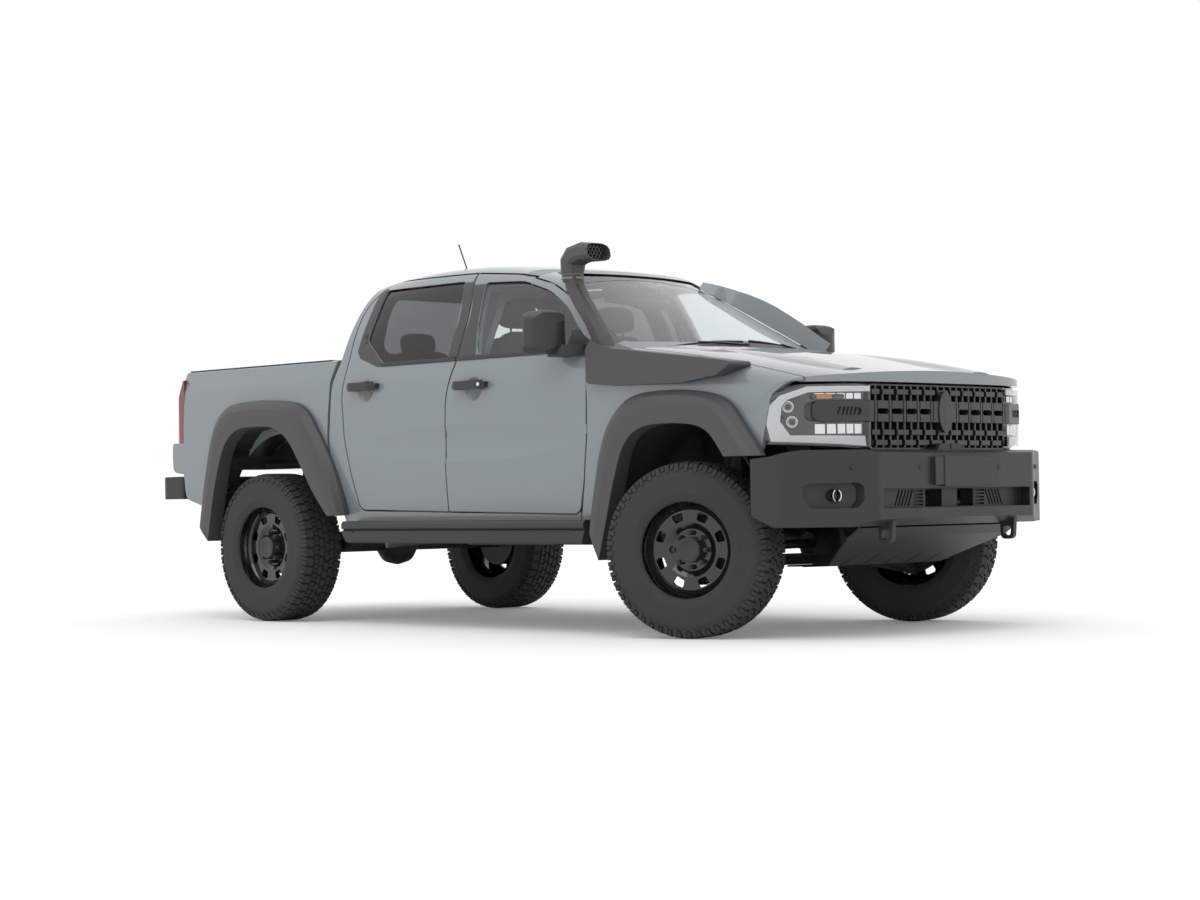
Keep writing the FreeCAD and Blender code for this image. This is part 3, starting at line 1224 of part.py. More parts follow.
def snorkel():
    # pod on the wing, pipe up the pillar, clamped head with a mouth to the front
    pod = prism("xz", [(1116, 1230, 30), (1300, 1212, 60), (1760, 1205, 60), (1990, 1232, 30), (2100, 1290, 14),
                       (1900, 1318, 60), (1300, 1392, 60), (1140, 1440, 30), (1116, 1400, 20)], -972, -815)
    path = [(1215, -900, 1340, 50), (1165, -896, 1440, 46), (1075, -872, 1545, 42), (975, -846, 1640, 42),
            (912, -836, 1720, 44), (890, -834, 1800, 46)]
    wires = []
    for i, (x, y, z, a) in enumerate(path):
        before = path[max(i - 1, 0)]
        after = path[min(i + 1, len(path) - 1)]
        along = V(after[0] - before[0], after[1] - before[1], after[2] - before[2])
        wires.append(ring_wire(V(x, y, z), along, a, a))
    pipe = Part.makeLoft(wires, True, True)
    neck = Part.makeCylinder(50, 60, V(888, -834, 1750))
    mouth = [ring_wire(V(888, -834, 1790), V(0, 0, 1), 52, 52), ring_wire(V(892, -834, 1850), V(0.35, 0, 1), 62, 54),
             ring_wire(V(930, -838, 1880), V(1, 0, 0.7), 66, 56), ring_wire(V(1000, -842, 1892), V(1, 0, 0.1), 74, 50),
             ring_wire(V(1090, -846, 1885), V(1, 0, 0.2), 84, 46)]
    head = Part.makeLoft(mouth, True, True)
    inside = [ring_wire(V(930, -838, 1884), V(1, 0, 0.7), 58, 44), ring_wire(V(1000, -842, 1892), V(1, 0, 0.1), 66, 42),
              ring_wire(V(1140, -847, 1882), V(1, 0, 0.2), 84, 42)]
    clear = cab_envelope(-SEAT)
    clear = clear.common(box(-300, 1419, -1100, -400, 1300, 2000)).cut(AHEAD)
    whole = join([pod, pipe, neck, head.cut(Part.makeLoft(inside, True, True))])
    whole = whole.cut(front_envelope(-SEAT)).cut(clear)
    return max(whole.Solids, key=lambda q: q.Volume)


def aerial():
    foot = Part.makeCone(17, 9, 36, V(-518, -300, ROOF - 34), V(-0.3, 0, 1))
    foot = foot.cut(cab_envelope(0))
    whip = rod(V(-527, -300, ROOF - 4), V(-600, -300, ROOF + 150), 4)
    return join([foot, whip])


# Interior
def seat_pair():
    pieces = []
    low = FLOOR_TOP + SEAT
    for y in (-370, 370):
        base = prism("xz", [(150, low, 20), (620, low, 20), (640, 1000, 50), (600, 1040, 40), (150, 985, 40)],
                     y - 250, y + 250)
        back = prism("xz", [(40, 860, 30), (150 - SEAT, 860, 10), (150 - SEAT, 1000, 30), (30, 1560, 60),
                            (-70, 1560, 60)], y - 240, y + 240)
        head = prism("xz", [(-84, 1590, 30), (14, 1590, 30), (-10, 1730, 40), (-96, 1730, 40)],
                     y - 120, y + 120)
        stalks = [box(-50, -30, y - 60, y - 46, 1540, 1600), box(-50, -30, y + 46, y + 60, 1540, 1600)]
        pieces += [base, join([back, head] + stalks)]
    bench = prism("xz", [(-800, low, 20), (-330, low, 20), (-310, 1000, 50), (-780, 965, 10)], -640, 640)
    rest = prism("xz", [(-775, 965.4 + SEAT), (-690, 971.7 + SEAT, 6), (-740, 1500, 50), (-850, 1500, 50),
                        (-800, 1000, 20)], -640, 640)
    pieces += [bench, rest]
    return Part.makeCompound(pieces)


def dashboard():
    body = prism("xz", [(1128 - SEAT, 1040, 20), (1128 - SEAT, 1400, 20), (1060, 1420, 60), (820, 1330, 80),
                        (800, 1180, 60), (900, 1040, 40)], -760, 760)
    column = rod(V(830, -370, 1220), V(640, -370, 1270), 26)
    ring = Part.makePolygon([V(170, -13, 0), V(200, -13, 0), V(200, 13, 0), V(170, 13, 0), V(170, -13, 0)])
    rim = Part.Face(ring).revolve(V(0, 0, 0), V(0, 1, 0), 360)
    turn = FreeCAD.Rotation(V(0, 1, 0), V(-0.96, 0, 0.28))
    rim.Placement = FreeCAD.Placement(V(620, -370, 1275), turn)
    spoke = box(612, 632, -550, -190, 1262, 1290)
    hub = Part.makeCylinder(60, 40, V(640, -370, 1270), V(-0.96, 0, 0.28))
    body = body.cut(screen_block(size("cab_wall") + SEAT))
    return join([body, column, rim, spoke, hub])


doors()
keep("cab_shell", cab_shell())
keep("fixed_glass", fixed_glass())
keep("front_wings", front_wings())
keep("bonnet", bonnet())
keep("arch_flares", arch_flares())
keep("arch_liners", arch_liners())
keep("load_bed", load_bed())
keep("tailgate", tailgate())
keep("tail_lamps", tail_lamps())
keep("headlamps", headlamps())
keep("grille", grille())
keep("front_bumper", front_bumper())
skid_plate()
keep("rear_bumper", rear_bumper())
keep("ladder_frame", join([ladder_frame()] + body_mounts()))
keep("powertrain", powertrain())
keep("front_axle", front_axle())
wheels()
keep("rear_axle", rear_axle())
fuel_tank()
keep("exhaust", exhaust())
keep("side_steps", side_steps())
keep("snorkel", snorkel())
keep("aerial", aerial())
keep("seats", seat_pair())
keep("dashboard", dashboard())

doc.recompute()
for item in finished:
    if "Invalid" in item.State or "Error" in item.State:
        raise RuntimeError(item.Label + " is in state " + str(item.State))
    if item.Shape.isNull() or not item.Shape.isValid():
        raise RuntimeError(item.Label + " has no valid shape")
    item.Shape.exportStep("parts/" + item.Label + ".step")
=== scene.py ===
import math

import bpy
from mathutils import Matrix, Vector


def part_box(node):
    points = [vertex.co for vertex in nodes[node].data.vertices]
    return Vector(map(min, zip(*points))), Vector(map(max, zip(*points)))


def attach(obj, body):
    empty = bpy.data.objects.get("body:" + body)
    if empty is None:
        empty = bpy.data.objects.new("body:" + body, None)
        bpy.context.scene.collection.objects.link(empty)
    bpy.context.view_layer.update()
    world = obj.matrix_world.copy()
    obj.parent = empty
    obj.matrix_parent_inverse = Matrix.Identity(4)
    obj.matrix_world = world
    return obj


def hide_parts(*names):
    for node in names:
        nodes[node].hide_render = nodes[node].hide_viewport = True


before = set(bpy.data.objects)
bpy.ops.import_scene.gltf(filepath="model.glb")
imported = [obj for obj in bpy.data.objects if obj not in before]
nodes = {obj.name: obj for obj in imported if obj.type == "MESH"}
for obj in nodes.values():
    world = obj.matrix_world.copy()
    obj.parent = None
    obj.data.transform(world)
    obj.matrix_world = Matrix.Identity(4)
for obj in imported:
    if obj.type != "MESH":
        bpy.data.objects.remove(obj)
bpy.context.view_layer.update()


# Ladder frame: welded box-section rails and round cross-members, dipped in black chassis paint.
# The body sits on it through rubber mounts.
grain_depth = 0.0006


def finish(name, colour, rough, metallic=0.0, coat=0.0, grain=0.0, size=300.0, blotch=0.0, blotch_size=6.0,
           edge=0.0):
    """A paint, plastic or metal: even colour, slight unevenness, a fine grain and softly broken edges."""
    material = bpy.data.materials.new(name)
    material.use_nodes = True
    tree = material.node_tree
    shader = tree.nodes["Principled BSDF"]
    shader.inputs["Metallic"].default_value = metallic
    shader.inputs["Roughness"].default_value = rough
    shader.inputs["Coat Weight"].default_value = coat
    shader.inputs["Coat Roughness"].default_value = 0.03
    place = tree.nodes.new("ShaderNodeTexCoord")
    cloud = tree.nodes.new("ShaderNodeTexNoise")
    cloud.inputs["Scale"].default_value = blotch_size
    cloud.inputs["Detail"].default_value = 4.0
    tone = tree.nodes.new("ShaderNodeMix")
    tone.data_type = "RGBA"
    tone.inputs["A"].default_value = (*[c * (1 - blotch) for c in colour], 1)
    tone.inputs["B"].default_value = (*[min(c * (1 + blotch), 1) for c in colour], 1)
    tree.links.new(place.outputs["Object"], cloud.inputs["Vector"])
    tree.links.new(cloud.outputs["Fac"], tone.inputs["Factor"])
    tree.links.new(tone.outputs["Result"], shader.inputs["Base Color"])
    soft = None
    if edge:
        soft = tree.nodes.new("ShaderNodeBevel")
        soft.samples = 4
        soft.inputs["Radius"].default_value = edge
        tree.links.new(soft.outputs["Normal"], shader.inputs["Normal"])
    if grain:
        texture = tree.nodes.new("ShaderNodeTexNoise")
        texture.inputs["Scale"].default_value = size
        texture.inputs["Detail"].default_value = 2.0
        bump = tree.nodes.new("ShaderNodeBump")
        bump.inputs["Strength"].default_value = grain
        bump.inputs["Distance"].default_value = grain_depth
        tree.links.new(place.outputs["Object"], texture.inputs["Vector"])
        tree.links.new(texture.outputs["Fac"], bump.inputs["Height"])
        if soft:
            tree.links.new(soft.outputs["Normal"], bump.inputs["Normal"])
        tree.links.new(bump.outputs["Normal"], shader.inputs["Normal"])
    return material


def dress(material, slot, *names):
    """The CAD nodes named take this material. The slot argument is not used."""
    for name in names:
        node = nodes[name]
        node.data.materials.clear()
        node.data.materials.append(material)


chassis_black = finish("chassis_black", (0.018, 0.018, 0.019), 0.45, grain=0.25, size=500, blotch=0.25,
                       edge=0.003)
dress(chassis_black, "chassis_steel", "ladder_frame")


# Axles, knuckles and engine: bare and lightly oxidised castings.
# The stub axles carry disc and caliper in front, the rear axle a drum at each end.
cast_metal = finish("cast_metal", (0.05, 0.048, 0.046), 0.55, metallic=0.6, grain=0.5, size=260,
                    blotch=0.35)
dress(cast_metal, "cast", "front_axle", "rear_axle", "powertrain", "knuckle_right", "knuckle_left")


# Fuel tank: blow-moulded black polyethylene strapped to the left rail.
# Exhaust: aluminised pipe and silencer between the rails, its tail turned out behind the cab.
tank_plastic = finish("tank_plastic", (0.02, 0.02, 0.021), 0.6, grain=0.3, size=300)
dress(tank_plastic, "trim_black", "fuel_tank")
exhaust_steel = finish("exhaust_steel", (0.22, 0.2, 0.18), 0.42, metallic=0.9, grain=0.15, size=200,
                       blotch=0.3)
dress(exhaust_steel, "exhaust_steel", "exhaust")


# Wheels: eight-window steel discs in gloss black, eight nuts round a plain round hub cover.
# Nuts and cover are satin dark parts pushed on from outside.
weld = 0.00005


def plate(name, corners, axis, low, high, bevel=0.0):
    """A flat outline pressed out to a thickness along x, y or z, its edges broken."""
    bpy.ops.object.select_all(action="DESELECT")
    bpy.ops.mesh.primitive_circle_add(vertices=len(corners), radius=1.0, fill_type="NGON")
    piece = bpy.context.object
    piece.name = name
    order = {"x": (2, 0, 1), "y": (0, 2, 1), "z": (0, 1, 2)}[axis]
    for vertex, corner in zip(piece.data.vertices, corners):
        flat = (corner[0], corner[1], low)
        vertex.co = [flat[i] for i in order]
    push = [0.0, 0.0, 0.0]
    push["xyz".index(axis)] = high - low
    bpy.ops.object.mode_set(mode="EDIT")
    bpy.ops.mesh.select_all(action="SELECT")
    bpy.ops.mesh.extrude_region_move(TRANSFORM_OT_translate={"value": push})
    bpy.ops.mesh.select_all(action="SELECT")
    bpy.ops.mesh.normals_make_consistent(inside=False)
    bpy.ops.object.mode_set(mode="OBJECT")
    if bevel:
        soft = piece.modifiers.new("edge", "BEVEL")
        soft.width = bevel
        soft.segments = 2
        soft.limit_method = "ANGLE"
        bpy.ops.object.modifier_apply(modifier=soft.name)
    return piece


def turned(name, profile, steps, centre=(0, 0, 0), axis=(0, 1, 0)):
    """A closed profile of (radius, height) turned all round an axis."""
    bpy.ops.object.select_all(action="DESELECT")
    bpy.ops.mesh.primitive_circle_add(vertices=len(profile), radius=1.0, fill_type="NOTHING")
    piece = bpy.context.object
    piece.name = name
    side = Vector(axis).orthogonal().normalized()
    for vertex, (radius, height) in zip(piece.data.vertices, profile):
        vertex.co = Vector(centre) + side * radius + Vector(axis) * height
    bpy.ops.object.mode_set(mode="EDIT")
    bpy.ops.mesh.select_all(action="SELECT")
    bpy.ops.mesh.spin(steps=steps, angle=2 * math.pi, center=centre, axis=axis)
    bpy.ops.mesh.select_all(action="SELECT")
    bpy.ops.mesh.remove_doubles(threshold=weld)
    bpy.ops.mesh.normals_make_consistent(inside=False)
    bpy.ops.object.mode_set(mode="OBJECT")
    return piece


def repeated(piece, count, axis=(0, 1, 0)):
    """The piece set round an axis through the origin, count times in all."""
    bpy.ops.object.select_all(action="DESELECT")
    piece.select_set(True)
    bpy.context.view_layer.objects.active = piece
    bpy.ops.object.mode_set(mode="EDIT")
    bpy.ops.mesh.select_all(action="SELECT")
    bpy.ops.mesh.spin(steps=count - 1, dupli=True, angle=2 * math.pi * (count - 1) / count,
                      center=(0, 0, 0), axis=axis)
    bpy.ops.object.mode_set(mode="OBJECT")
    return piece


def joined(name, pieces):
    """Several meshes made one."""
    bpy.ops.object.select_all(action="DESELECT")
    for piece in pieces:
        piece.select_set(True)
    bpy.context.view_layer.objects.active = pieces[0]
    bpy.ops.object.join()
    pieces[0].name = name
    return pieces[0]


def fitted(piece, material, body, angle=35):
    """The finished piece: shading, material, and the body that carries it."""
    bpy.ops.object.select_all(action="DESELECT")
    piece.select_set(True)
    bpy.context.view_layer.objects.active = piece
    bpy.ops.object.shade_smooth_by_angle(angle=math.radians(angle))
    piece.data.materials.clear()
    piece.data.materials.append(material)
    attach(piece, body)
    return piece


def copied(piece, name, matrix):
    """A copy with its own mesh, moved in the mesh."""
    twin = piece.copy()
    twin.data = piece.data.copy()
    twin.name = name
    bpy.context.collection.objects.link(twin)
    twin.data.transform(matrix)
    if matrix.determinant() < 0:
        twin.data.flip_normals()
    return twin


steer = math.radians(20.4)
nut_count = 8
nut_circle = 0.0812
nut_reach = 0.0125
valve_place = (0.075, 0, 0.183)
wheel_turn = {"front_right": steer + math.pi, "front_left": steer, "rear_right": math.pi, "rear_left": 0.0}


def wheel_matrix(corner):
    """From the wheel's own axes, +Y outwards, to its place on the vehicle."""
    low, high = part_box("tyre_" + corner)
    centre = (Vector(low) + Vector(high)) / 2
    return Matrix.Translation(centre) @ Matrix.Rotation(wheel_turn[corner], 4, "Z")


wheel_black = finish("wheel_black", (0.006, 0.006, 0.007), 0.12, coat=0.7)
nut_black = finish("nut_black", (0.03, 0.03, 0.031), 0.4, grain=0.2, size=900)
hub_cover = turned("hub_cover", [(0.0, 0.034), (0.0605, 0.034), (0.0605, 0.088), (0.057, 0.0935),
                                 (0.046, 0.0948), (0.044, 0.0935), (0.0, 0.0935)], 48)
nut = plate("nut", [(nut_reach * math.cos(a * math.pi / 3),
                     nut_circle + nut_reach * math.sin(a * math.pi / 3)) for a in range(6)], "y", 0.036,
            0.0765, 0.0012)
nut_tip = turned("nut_tip", [(0.0, 0.076), (0.0075, 0.076), (0.0075, 0.084), (0.006, 0.0855),
                             (0.0, 0.0855)], 12)
nut_tip.data.transform(Matrix.Translation((0, 0, nut_circle)))
wheel_nuts = repeated(joined("wheel_nuts", [nut, nut_tip]), nut_count)
valve = turned("valve", [(0.0, 0.05), (0.0045, 0.05), (0.004, 0.088), (0.0028, 0.09), (0.0, 0.09)], 10)
valve.data.transform(Matrix.Translation(valve_place))
wheel_fittings = joined("wheel_fittings", [hub_cover, wheel_nuts, valve])
for corner in wheel_turn:
    dress(wheel_black, "wheel_black", "rim_" + corner)
    fitted(copied(wheel_fittings, "wheel_fittings_" + corner, wheel_matrix(corner)), nut_black,
           "wheel_" + corner)
bpy.data.objects.remove(wheel_fittings)


# All-terrain tyres: radial carcass with plain side walls, interlocked tread blocks, alternating side lugs.
# The blocks stand 13 mm over the grooves; the pattern repeats fifty times round the tyre.
tread_radius = 0.418
groove_radius = 0.400
pattern_count = 50
shoulder = 0.090
shoulder_fall = 0.42
lug_face = 0.1335
lug_knee = 0.378
tyre_rubber = finish("tyre_rubber", (0.036, 0.0355, 0.035), 0.78, grain=0.25, size=420, blotch=0.12,
                     blotch_size=9)
half_wall = [(0.229, 0.112), (0.233, 0.122), (0.243, 0.127), (0.262, 0.1335), (0.266, 0.1352),
             (0.276, 0.1352), (0.280, 0.1345), (0.313, 0.1368), (0.345, 0.1345), (0.349, 0.1352),
             (0.354, 0.1342), (0.372, 0.129), (0.388, 0.1215), (0.398, 0.110), (0.4035, 0.088),
             (0.4050, 0.045), (0.4052, 0.0)]
carcass = turned("carcass", half_wall + [(r, -y) for r, y in reversed(half_wall[:-1])], 120)
pitch = 2 * math.pi * tread_radius / pattern_count
block_outlines = [
    [(-0.021, 0.003), (0.004, 0.003), (0.012, 0.010), (0.021, 0.010), (0.021, 0.027), (0.009, 0.033),
     (-0.013, 0.033), (-0.021, 0.024)],
    [(-0.022, 0.040), (-0.001, 0.038), (-0.003, 0.066), (-0.020, 0.068)],
    [(0.002, 0.038), (0.020, 0.040), (0.021, 0.064), (0.000, 0.068)],
    [(-0.021, 0.074), (0.016, 0.073), (0.020, 0.080), (0.018, 0.097), (0.019, 0.1165), (-0.015, 0.1165),
     (-0.017, 0.099), (-0.022, 0.092)],
]
blocks = []
for turn in (1, -1):
    for row, corners in enumerate(block_outlines):
        shift = pitch * (0.5 if turn < 0 else 0.0) + (0.013 if row in (1, 2) else 0.0)
        block = plate("block", [(turn * t + shift, turn * y) for t, y in corners], "z", groove_radius,
                      tread_radius)
        for vertex in block.data.vertices:
            beyond = max(abs(vertex.co.y) - shoulder, 0.0)
            vertex.co.z -= beyond * shoulder_fall + vertex.co.x ** 2 / (2 * tread_radius)
        blocks.append(block)
    for t0, t1, r0, lean in ((-0.021, 0.000, 0.372, 0.0), (0.004, 0.021, 0.386, 0.003)):
        shift = pitch * (0.5 if turn < 0 else 0.0)
        lug = plate("lug", [(t0 + shift, r0), (t1 + shift, r0 + lean), (t1 + shift, 0.409),
                            (t0 + shift, 0.409)], "y", 0.108 * turn, 0.1345 * turn)
        for vertex in lug.data.vertices:
            if abs(vertex.co.y) > 0.12:
                vertex.co.y = turn * (lug_face - shoulder_fall * max(vertex.co.z - lug_knee, 0.0))
        blocks.append(lug)
pattern = joined("pattern", blocks)
worn = pattern.modifiers.new("worn", "BEVEL")
worn.width = 0.0012
worn.segments = 1
worn.limit_method = "ANGLE"
bpy.ops.object.modifier_apply(modifier=worn.name)
tyre = joined("tyre", [carcass, repeated(pattern, pattern_count)])
for corner in wheel_turn:
    fresh = copied(tyre, "tread_tyre_" + corner, wheel_matrix(corner))
    fitted(fresh, tyre_rubber, "wheel_" + corner, 28)
    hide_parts("tyre_" + corner)
bpy.data.objects.remove(tyre)


# Cab, bed and closing panels: pressed steel in grey-blue gloss paint under a clear coat.
# Doors, bonnet and tailgate hang on their hinges with an even gap all round.
body_paint = finish("body_paint", (0.20, 0.235, 0.25), 0.36, coat=1.0, blotch=0.012, blotch_size=3.0,
                    edge=0.004)
dress(body_paint, "body_paint", "cab_shell", "load_bed", "tailgate", "bonnet", "front_wings",
      "front_door_right", "front_door_left", "rear_door_right", "rear_door_left")


# Dark moulded plastic: arch flares screwed to the wings, liners, snorkel, steps, mirrors and handles.
# It has a fine spark-eroded grain and no paint.
flare_plastic = finish("flare_plastic", (0.062, 0.063, 0.065), 0.46, grain=0.3, size=900, blotch=0.04,
                       edge=0.005)
dress(flare_plastic, "flare_plastic", "arch_flares", "snorkel")
trim_black = finish("trim_black", (0.026, 0.027, 0.028), 0.42, grain=0.25, size=900, blotch=0.05,
                    edge=0.004)
dress(trim_black, "trim_black", "arch_liners", "side_steps", "aerial", "mirror_and_handle_right",
      "mirror_and_handle_left", "rear_handle_right", "rear_handle_left")


# Glass: laminated clear windscreen and front door panes, privacy-tinted rear doors.
# All panes are bonded or run in channels 10 mm behind the skin.
def pane(name, colour, clear, rough=0.02):
    """Glass or a clear lens."""
    material = bpy.data.materials.new(name)
    material.use_nodes = True
    tree = material.node_tree
    shader = tree.nodes["Principled BSDF"]
    shader.inputs["Base Color"].default_value = (*colour, 1)
    shader.inputs["Roughness"].default_value = rough
    shader.inputs["IOR"].default_value = 1.45
    shader.inputs["Transmission Weight"].default_value = clear
    return material


clear_glass = pane("clear_glass", (0.80, 0.85, 0.85), 1.0)
dress(clear_glass, "clear_glass", "fixed_glass", "front_door_glass_right", "front_door_glass_left")
dark_glass = pane("dark_glass", (0.13, 0.14, 0.145), 1.0)
dress(dark_glass, "clear_glass", "rear_door_glass_right", "rear_door_glass_left")


# Window surrounds: satin black foil on the door frames at the centre post, and an extruded rubber and
# aluminium strip along the foot of every side window, clipped over the door flange.
def cover(name, node, corners, thickness, wanted):
    """A thin cover over the wanted faces of a CAD piece, inside a convex outline in (x, z)."""
    bpy.ops.object.select_all(action="DESELECT")
    source = nodes[node]
    piece = source.copy()
    piece.data = source.data.copy()
    piece.name = name
    bpy.context.collection.objects.link(piece)
    piece.select_set(True)
    bpy.context.view_layer.objects.active = piece
    bpy.ops.object.mode_set(mode="EDIT")
    bpy.ops.mesh.select_mode(type="FACE")
    bpy.ops.mesh.select_all(action="SELECT")
    bpy.ops.mesh.remove_doubles(threshold=weld)
    count = max(len(corners), 1)
    middle = Vector((sum(c[0] for c in corners) / count, 0, sum(c[1] for c in corners) / count))
    for start, end in zip(corners, corners[1:] + corners[:1]):
        point = Vector((start[0], 0, start[1]))
        out = Vector((end[1] - start[1], 0, start[0] - end[0]))
        if out.dot(point - middle) < 0:
            out = -out
        bpy.ops.mesh.select_all(action="SELECT")
        bpy.ops.mesh.bisect(plane_co=point, plane_no=out, clear_outer=True)
    bpy.ops.mesh.select_all(action="DESELECT")
    bpy.ops.object.mode_set(mode="OBJECT")
    for face in piece.data.polygons:
        face.select = not wanted(face.center, face.normal)
    bpy.ops.object.mode_set(mode="EDIT")
    bpy.ops.mesh.delete(type="FACE")
    bpy.ops.mesh.select_mode(type="VERT")
    bpy.ops.object.mode_set(mode="OBJECT")
    wall = piece.modifiers.new("wall", "SOLIDIFY")
    wall.thickness = thickness
    wall.offset = 1
    bpy.ops.object.modifier_apply(modifier=wall.name)
    return piece


def outward(centre, normal):
    """True on the outer skin of either side."""
    return normal.y * centre.y > 0.35 * abs(centre.y)


def laid(name, corners, low, high, cuts, place):
    """A flat outline in (u, v) with a thickness in w, cut at the u values and bent on to a surface."""
    piece = plate(name, corners, "z", low, high)
    bpy.ops.object.mode_set(mode="EDIT")
    for cut in cuts:
        bpy.ops.mesh.select_all(action="SELECT")
        bpy.ops.mesh.bisect(plane_co=(cut, 0, 0), plane_no=(1, 0, 0))
    bpy.ops.object.mode_set(mode="OBJECT")
    for vertex in piece.data.vertices:
        vertex.co = place(*vertex.co)
    bpy.ops.object.mode_set(mode="EDIT")
    bpy.ops.mesh.select_all(action="SELECT")
    bpy.ops.mesh.normals_make_consistent(inside=False)
    bpy.ops.object.mode_set(mode="OBJECT")
    return piece


def both_sides(piece, material, right_body, left_body, angle=35):
    """The right-hand piece and its mirror image on the left."""
    name = piece.name
    left = copied(piece, name + "_left", Matrix.Scale(-1, 4, (0, 1, 0)))
    piece.name = name + "_right"
    fitted(left, material, left_body, angle)
    fitted(piece, material, right_body, angle)


belt = 1.410
roof_fall = [(-1.010, 0.86), (-0.600, 0.975), (-0.200, 1.0), (0.100, 0.966), (0.450, 0.872), (0.900, 0.70),
             (1.420, 0.47)]
cab_section = [(1.310, 0.920), (1.400, 0.894), (1.500, 0.865), (1.620, 0.822), (1.730, 0.771),
               (1.820, 0.722), (1.878, 0.667), (1.912, 0.580), (1.930, 0.430), (1.941, 0.220)]


def side_skin(x, z, out):
    """A point of the right side above the belt, out mm beyond the painted skin.

    cab_section gives the half width at each height, and roof_fall how far the section is pressed down
    towards the belt along the cab.
    """
    i = max(k for k in range(len(roof_fall) - 1) if roof_fall[k][0] <= x)
    (x0, rise0), (x1, rise1) = roof_fall[i:i + 2]
    rise = rise0 + (rise1 - rise0) * (x - x0) / (x1 - x0)
    level = belt + (z - belt) / rise
    k = max(j for j in range(1, len(cab_section) - 2) if cab_section[j][0] <= level or j == 1)
    (z0, y0), (z1, y1), (z2, y2), (z3, y3) = cab_section[k - 1:k + 3]
    share = (level - z1) / (z2 - z1)
    lean1 = (y2 - y0) / (z2 - z0) * (z2 - z1)
    lean2 = (y3 - y1) / (z3 - z1) * (z2 - z1)
    a, b = share ** 2, share ** 3
    y = (2 * b - 3 * a + 1) * y1 + (b - 2 * a + share) * lean1 + (3 * a - 2 * b) * y2 + (b - a) * lean2
    slope = (y2 - y1) / (z2 - z1)
    return Vector((x, -y, z)) + Vector((0, -1, -slope)).normalized() * out / 1000


def sheet_over(name, across, along, wall, place):
    """A grid laid by place(u, v), both 0 to 1, with a wall in mm."""
    bpy.ops.object.select_all(action="DESELECT")
    bpy.ops.mesh.primitive_grid_add(x_subdivisions=across, y_subdivisions=along, size=2)
    piece = bpy.context.object
    piece.name = name
    for vertex in piece.data.vertices:
        vertex.co = place((vertex.co.x + 1) / 2, (vertex.co.y + 1) / 2)
    skin = piece.modifiers.new("skin", "SOLIDIFY")
    skin.thickness = wall / 1000
    skin.offset = 0
    bpy.ops.object.modifier_apply(modifier=skin.name)
    bpy.ops.object.mode_set(mode="EDIT")
    bpy.ops.mesh.select_all(action="SELECT")
    bpy.ops.mesh.normals_make_consistent(inside=False)
    bpy.ops.object.mode_set(mode="OBJECT")
    return piece


def bent(lower, corner, upper, reach, z):
    """x of two lines that meet in a rounded corner, at a height; points are (x, z)."""
    first = lower[0] + (corner[0] - lower[0]) * (z - lower[1]) / (corner[1] - lower[1])
    second = corner[0] + (upper[0] - corner[0]) * (z - corner[1]) / (upper[1] - corner[1])
    share = min(max((z - corner[1] + reach) / (2 * reach), 0.0), 1.0)
    return first * (1 - share) + second * share


foil_foot = 1.419
foil_lift = 1.6
seam_room = 0.0045
pane_room = 0.0015
seam_front = ((0.067, 1.417), (0.078, 1.638), (-0.008, 1.871))
seam_rear = ((0.061, 1.417), (0.072, 1.638), (-0.014, 1.871))
front_pane_foot = (0.203, 1.416)
front_pane_head = (0.105, 1.812)
rear_pane_edge = ((-0.012, 1.416), (-0.002, 1.640), (-0.072, 1.830))


def front_foil(u, v):
    """On the front door, from the seam at the centre post to the rear edge of its pane."""
    z = foil_foot + v * (1.803 - foil_foot)
    seam = bent(*seam_front, 0.10, z) + seam_room
    (x0, z0), (x1, z1) = front_pane_foot, front_pane_head
    glass = x0 + (x1 - x0) * (z - z0) / (z1 - z0) - pane_room
    return side_skin(seam + (glass - seam) * u, z, foil_lift)


def rear_foil(u, v):
    """On the rear door, from the front edge of its pane to the seam."""
    z = foil_foot + v * (1.822 - foil_foot)
    seam = bent(*seam_rear, 0.10, z) - seam_room
    glass = bent(*rear_pane_edge, 0.08, z) + pane_room
    return side_skin(glass + (seam - glass) * u, z, foil_lift)


post_foil = finish("post_foil", (0.05, 0.051, 0.052), 0.4, grain=0.1, size=900)
strip_foot = 1.396
strip_top = 1.4155
upright = [(-0.738, 1.548), (-0.738, 1.838), (-0.79, 1.838), (-0.80, 1.49)]
slanted = [(-0.80, 1.49), (-0.738, 1.552), (-0.555, strip_top), (-0.555, strip_foot), (-0.60, strip_foot),
           (-0.765, 1.45)]
for side in ("right", "left"):
    door = "rear_door_" + side
    for ending, corners in (("_810", upright), ("_690", slanted)):
        fitted(cover("post_" + door + ending, door, corners, 0.0012, outward), post_foil,
               door)
    for part, start, end in (("front_door_", 0.062, 1.05), ("rear_door_", -0.56, 0.056)):
        outline = [(start, strip_foot), (end, strip_foot), (end, strip_top), (start, strip_top)]
        strip = cover("belt_strip_%s%s" % (part, side), part + side, outline, 0.006, outward)
        fitted(strip, trim_black, part + side)
for name, place in (("front_door", front_foil), ("rear_door", rear_foil)):
    foil = sheet_over("post_foil_" + name, 6, 24, 1.0, place)
    both_sides(foil, post_foil, name + "_right", name + "_left", 50)


